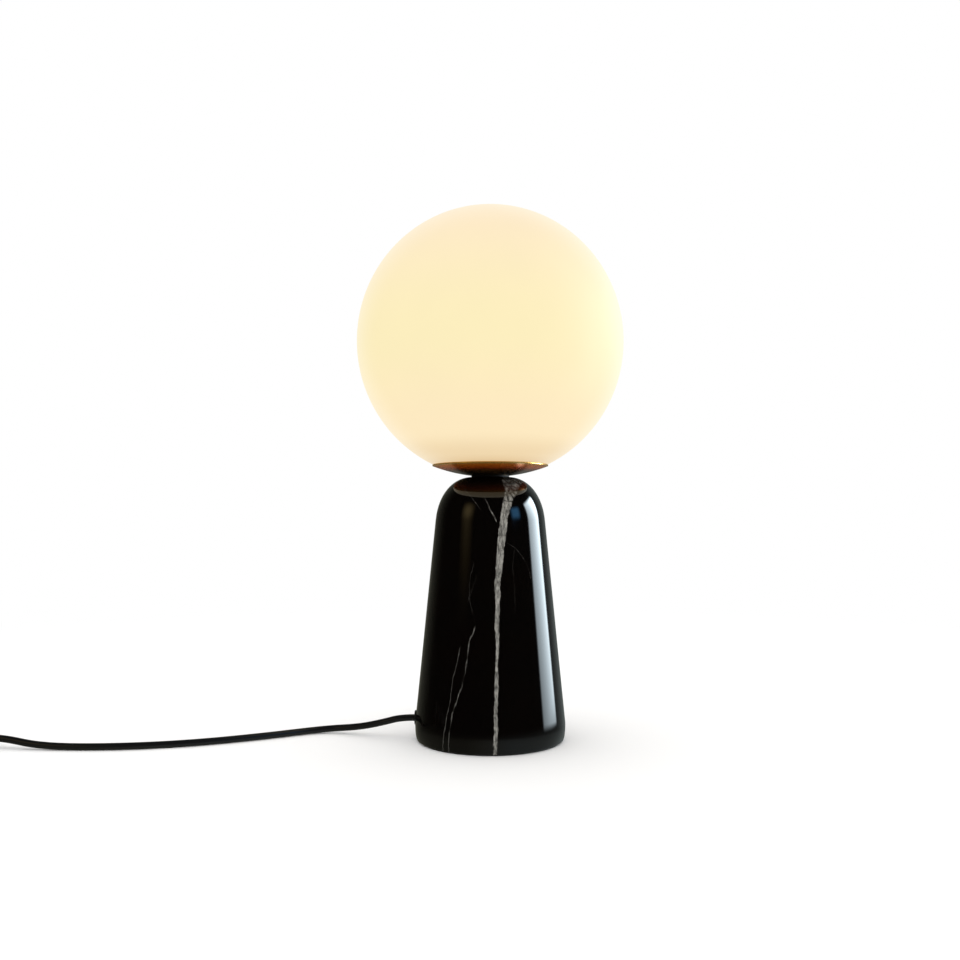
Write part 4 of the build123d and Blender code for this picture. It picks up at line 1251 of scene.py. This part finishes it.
def panel_light(name, place, size, colour, radiance, edge, across=(1, 1), up=(1, 1)):
    """Adds a soft-edged panel that faces the marble and shows only in gloss.

    The place is an azimuth from the front towards the right and an elevation,
    in degrees, and a distance. Edge is the share of the size that fades out,
    across and up are how bright the panel is from side to side and end to end.
    """
    azimuth, elevation, reach = place
    data = bpy.data.lights.new(name, "AREA")
    data.shape = "RECTANGLE"
    data.size, data.size_y = size
    data.color = linear(colour)[:3]
    data.energy = radiance * pi * size[0] * size[1]
    data.use_nodes = True
    tree = data.node_tree
    tree.nodes.clear()
    spot = add_node(tree, "ShaderNodeNewGeometry").outputs["Parametric"]
    sides = add_node(tree, "ShaderNodeSeparateXYZ", links={0: spot}).outputs
    strength = None
    for side, (start, end) in ((sides["X"], across), (sides["Y"], up)):
        level = add_node(
            tree, "ShaderNodeMapRange", {"To Min": start, "To Max": end}, {"Value": side}
        ).outputs[0]
        nearest = add_node(
            tree, "ShaderNodeMath", {1: 0.5}, {0: side}, operation="PINGPONG"
        ).outputs[0]
        rim = add_node(
            tree,
            "ShaderNodeMapRange",
            {"From Max": edge},
            {"Value": nearest},
            interpolation_type="SMOOTHSTEP",
        ).outputs[0]
        for factor in (level, rim):
            if strength is not None:
                factor = add_node(
                    tree,
                    "ShaderNodeMath",
                    links={0: strength, 1: factor},
                    operation="MULTIPLY",
                ).outputs[0]
            strength = factor
    shine = add_node(tree, "ShaderNodeEmission", links={"Strength": strength})
    add_node(tree, "ShaderNodeOutputLight", links={"Surface": shine.outputs[0]})
    lamp = bpy.data.objects.new(name, data)
    bpy.context.scene.collection.objects.link(lamp)
    turn, tilt = radians(azimuth), radians(elevation)
    away = Vector((sin(turn) * cos(tilt), -cos(turn) * cos(tilt), sin(tilt)))
    lamp.location = Vector((0.0, 0.0, FOOT_HEIGHT / 2)) + reach * away
    lamp.rotation_euler = away.to_track_quat("Z", "Y").to_euler()
    lamp.visible_camera = False
    lamp.visible_diffuse = False


class LAMP_OT_stage(Operator):
    """Adds the floor, the light and the camera"""

    bl_idname = "lamp.stage"
    bl_label = "Studio"

    def execute(self, context):
        settings = context.scene.lamp_stage
        scene = context.scene
        self.add_floor(settings)
        self.add_room(settings)
        # A cool window on the right, brighter at its top and far side.
        panel_light(
            "window",
            place=(103, 11.2, 2.2),
            size=(1.5, 1.78),
            colour="#E6F6FF",
            radiance=settings.window,
            edge=0.12,
            across=(0.45, 1.35),
            up=(0.28, 1.5),
        )
        # A blue pane between the window and the camera.
        panel_light(
            "small_pane",
            place=(56, 22, 2.2),
            size=(1.0, 0.8),
            colour="#5CA0D8",
            radiance=4.2,
            edge=0.35,
        )
        # A warm wall on the left that fades out downwards.
        panel_light(
            "olive_wall",
            place=(-50, 22, 2.2),
            size=(1.3, 1.6),
            colour="#C0A874",
            radiance=2.4,
            edge=0.5,
            up=(0.1, 1.4),
        )
        self.add_camera(scene)
        scene.view_settings.view_transform = "Standard"
        return {"FINISHED"}

    def add_camera(self, scene):
        """A camera a little below the globe that looks slightly down."""
        data = bpy.data.cameras.new("camera")
        data.sensor_width = SENSOR
        data.lens = FOCAL_PIXELS / PICTURE_PIXELS * SENSOR
        data.shift_x, data.shift_y = CAMERA_SHIFT
        data.clip_end = 100.0
        camera = bpy.data.objects.new("camera", data)
        scene.collection.objects.link(camera)
        camera.location = CAMERA_PLACE
        camera.rotation_euler = (radians(90) - CAMERA_DIP, 0.0, 0.0)
        scene.camera = camera

    def add_floor(self, settings):
        """A plain white floor that turns into plain white far away."""
        half = settings.floor_side / 2
        corners = [(-half, -half, 0), (half, -half, 0), (half, half, 0), (-half, half, 0)]
        floor = add_mesh("floor", corners, [(0, 1, 2, 3)])
        made, tree = blank_material("white studio paper")
        place = add_node(tree, "ShaderNodeTexCoord").outputs["Object"]
        reach = add_node(
            tree, "ShaderNodeVectorMath", links={0: place}, operation="LENGTH"
        ).outputs["Value"]
        far = add_node(
            tree,
            "ShaderNodeMapRange",
            {"From Min": 0.35, "From Max": 1.1},
            {"Value": reach},
            interpolation_type="SMOOTHSTEP",
        ).outputs[0]
        paper = add_node(tree, "ShaderNodeBsdfDiffuse", {"Color": (0.9, 0.9, 0.9, 1.0)})
        glow = add_node(tree, "ShaderNodeEmission", {"Color": WHITE})
        shader = add_node(
            tree,
            "ShaderNodeMixShader",
            links={0: far, 1: paper.outputs[0], 2: glow.outputs[0]},
        )
        show_shader(tree, shader)
        floor.data.materials.append(made)
        floor.visible_glossy = False
        floor.visible_shadow = False

    def add_room(self, settings):
        """Even light on matt things, and a dark room with a white far wall in gloss."""
        world = bpy.data.worlds.new("room")
        bpy.context.scene.world = world
        world.use_nodes = True
        world.cycles.sampling_method = "NONE"
        tree = world.node_tree
        tree.nodes.clear()
        toward = add_node(tree, "ShaderNodeTexCoord").outputs["Generated"]
        axes = add_node(tree, "ShaderNodeSeparateXYZ", links={0: toward}).outputs
        # In gloss the room is brighter to the right, behind the lamp and below it.
        side = add_node(
            tree,
            "ShaderNodeMapRange",
            {"From Min": -0.6, "From Max": 0.6, "To Min": 0.10, "To Max": 0.30},
            {"Value": axes["X"]},
        ).outputs[0]
        behind = add_node(
            tree,
            "ShaderNodeMapRange",
            {"From Min": 0.2, "From Max": 0.9, "To Min": 0.03, "To Max": 1.0},
            {"Value": axes["Y"]},
            interpolation_type="SMOOTHSTEP",
        ).outputs[0]
        below = add_node(
            tree,
            "ShaderNodeMapRange",
            {"From Min": -0.04, "From Max": -0.35, "To Max": 1.3},
            {"Value": axes["Z"]},
            interpolation_type="SMOOTHSTEP",
        ).outputs[0]
        around = add_node(
            tree, "ShaderNodeMath", links={0: behind, 1: below}, operation="MAXIMUM"
        ).outputs[0]
        seen = add_node(
            tree, "ShaderNodeMath", links={0: side, 1: around}, operation="MULTIPLY"
        ).outputs[0]
        rightward = add_node(
            tree,
            "ShaderNodeMapRange",
            {"From Min": -0.4, "From Max": 0.4},
            {"Value": axes["X"]},
        ).outputs[0]
        tint = add_node(
            tree,
            "ShaderNodeMix",
            {"A": linear("#F6F6DC"), "B": linear("#E6F4F2")},
            {"Factor": rightward},
            data_type="RGBA",
        )
        gloss = add_node(
            tree,
            "ShaderNodeBackground",
            links={"Color": tint.outputs["Result"], "Strength": seen},
        )
        even = add_node(
            tree, "ShaderNodeBackground", {"Color": WHITE, "Strength": settings.room_light}
        )
        white = add_node(
            tree, "ShaderNodeBackground", {"Color": WHITE, "Strength": 1.0}
        )
        ray = add_node(tree, "ShaderNodeLightPath").outputs
        matt = add_node(
            tree,
            "ShaderNodeMixShader",
            links={0: ray["Is Glossy Ray"], 1: even.outputs[0], 2: gloss.outputs[0]},
        )
        room = add_node(
            tree,
            "ShaderNodeMixShader",
            links={0: ray["Is Camera Ray"], 1: matt.outputs[0], 2: white.outputs[0]},
        )
        add_node(tree, "ShaderNodeOutputWorld", links={"Surface": room.outputs[0]})


class LAMP_PT_sidebar(Panel):
    """Lists the lamp's pieces in the sidebar"""

    bl_label = "Globe Table Lamp"
    bl_idname = "LAMP_PT_sidebar"
    bl_space_type = "VIEW_3D"
    bl_region_type = "UI"
    bl_category = "Lamp"

    def draw(self, context):
        for name in SETTINGS:
            box = self.layout.box()
            for key in SETTINGS[name].__annotations__:
                box.prop(getattr(context.scene, name), key)
        for piece in PIECES:
            self.layout.operator(piece.bl_idname)


SETTINGS = {
    "lamp_marble": MarbleSettings,
    "lamp_brass": BrassSettings,
    "lamp_globe": GlobeSettings,
    "lamp_cord": CordSettings,
    "lamp_stage": StageSettings,
}
PIECES = [
    LAMP_OT_cord,
    LAMP_OT_marble_foot,
    LAMP_OT_brass_dish,
    LAMP_OT_glass_globe,
    LAMP_OT_lampholder,
    LAMP_OT_clamping_parts,
    LAMP_OT_cord_fittings,
    LAMP_OT_cord_switch,
    LAMP_OT_plug,
    LAMP_OT_stage,
]


def register():
    """Registers the settings, the operators and the panel."""
    for group in SETTINGS.values():
        bpy.utils.register_class(group)
    for name, group in SETTINGS.items():
        setattr(bpy.types.Scene, name, PointerProperty(type=group))
    for piece in (*PIECES, LAMP_PT_sidebar):
        bpy.utils.register_class(piece)


def unregister():
    """Takes everything that register added away again."""
    for piece in (LAMP_PT_sidebar, *reversed(PIECES)):
        bpy.utils.unregister_class(piece)
    for name, group in SETTINGS.items():
        delattr(bpy.types.Scene, name)
        bpy.utils.unregister_class(group)


def main():
    """Registers the add-on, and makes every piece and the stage."""
    register()
    bpy.ops.lamp.cord()
    bpy.ops.lamp.marble_foot()
    bpy.ops.lamp.brass_dish()
    bpy.ops.lamp.glass_globe()
    bpy.ops.lamp.lampholder()
    bpy.ops.lamp.clamping_parts()
    bpy.ops.lamp.cord_fittings()
    bpy.ops.lamp.cord_switch()
    bpy.ops.lamp.plug()
    bpy.ops.lamp.stage()


if __name__ == "__main__":
    main()
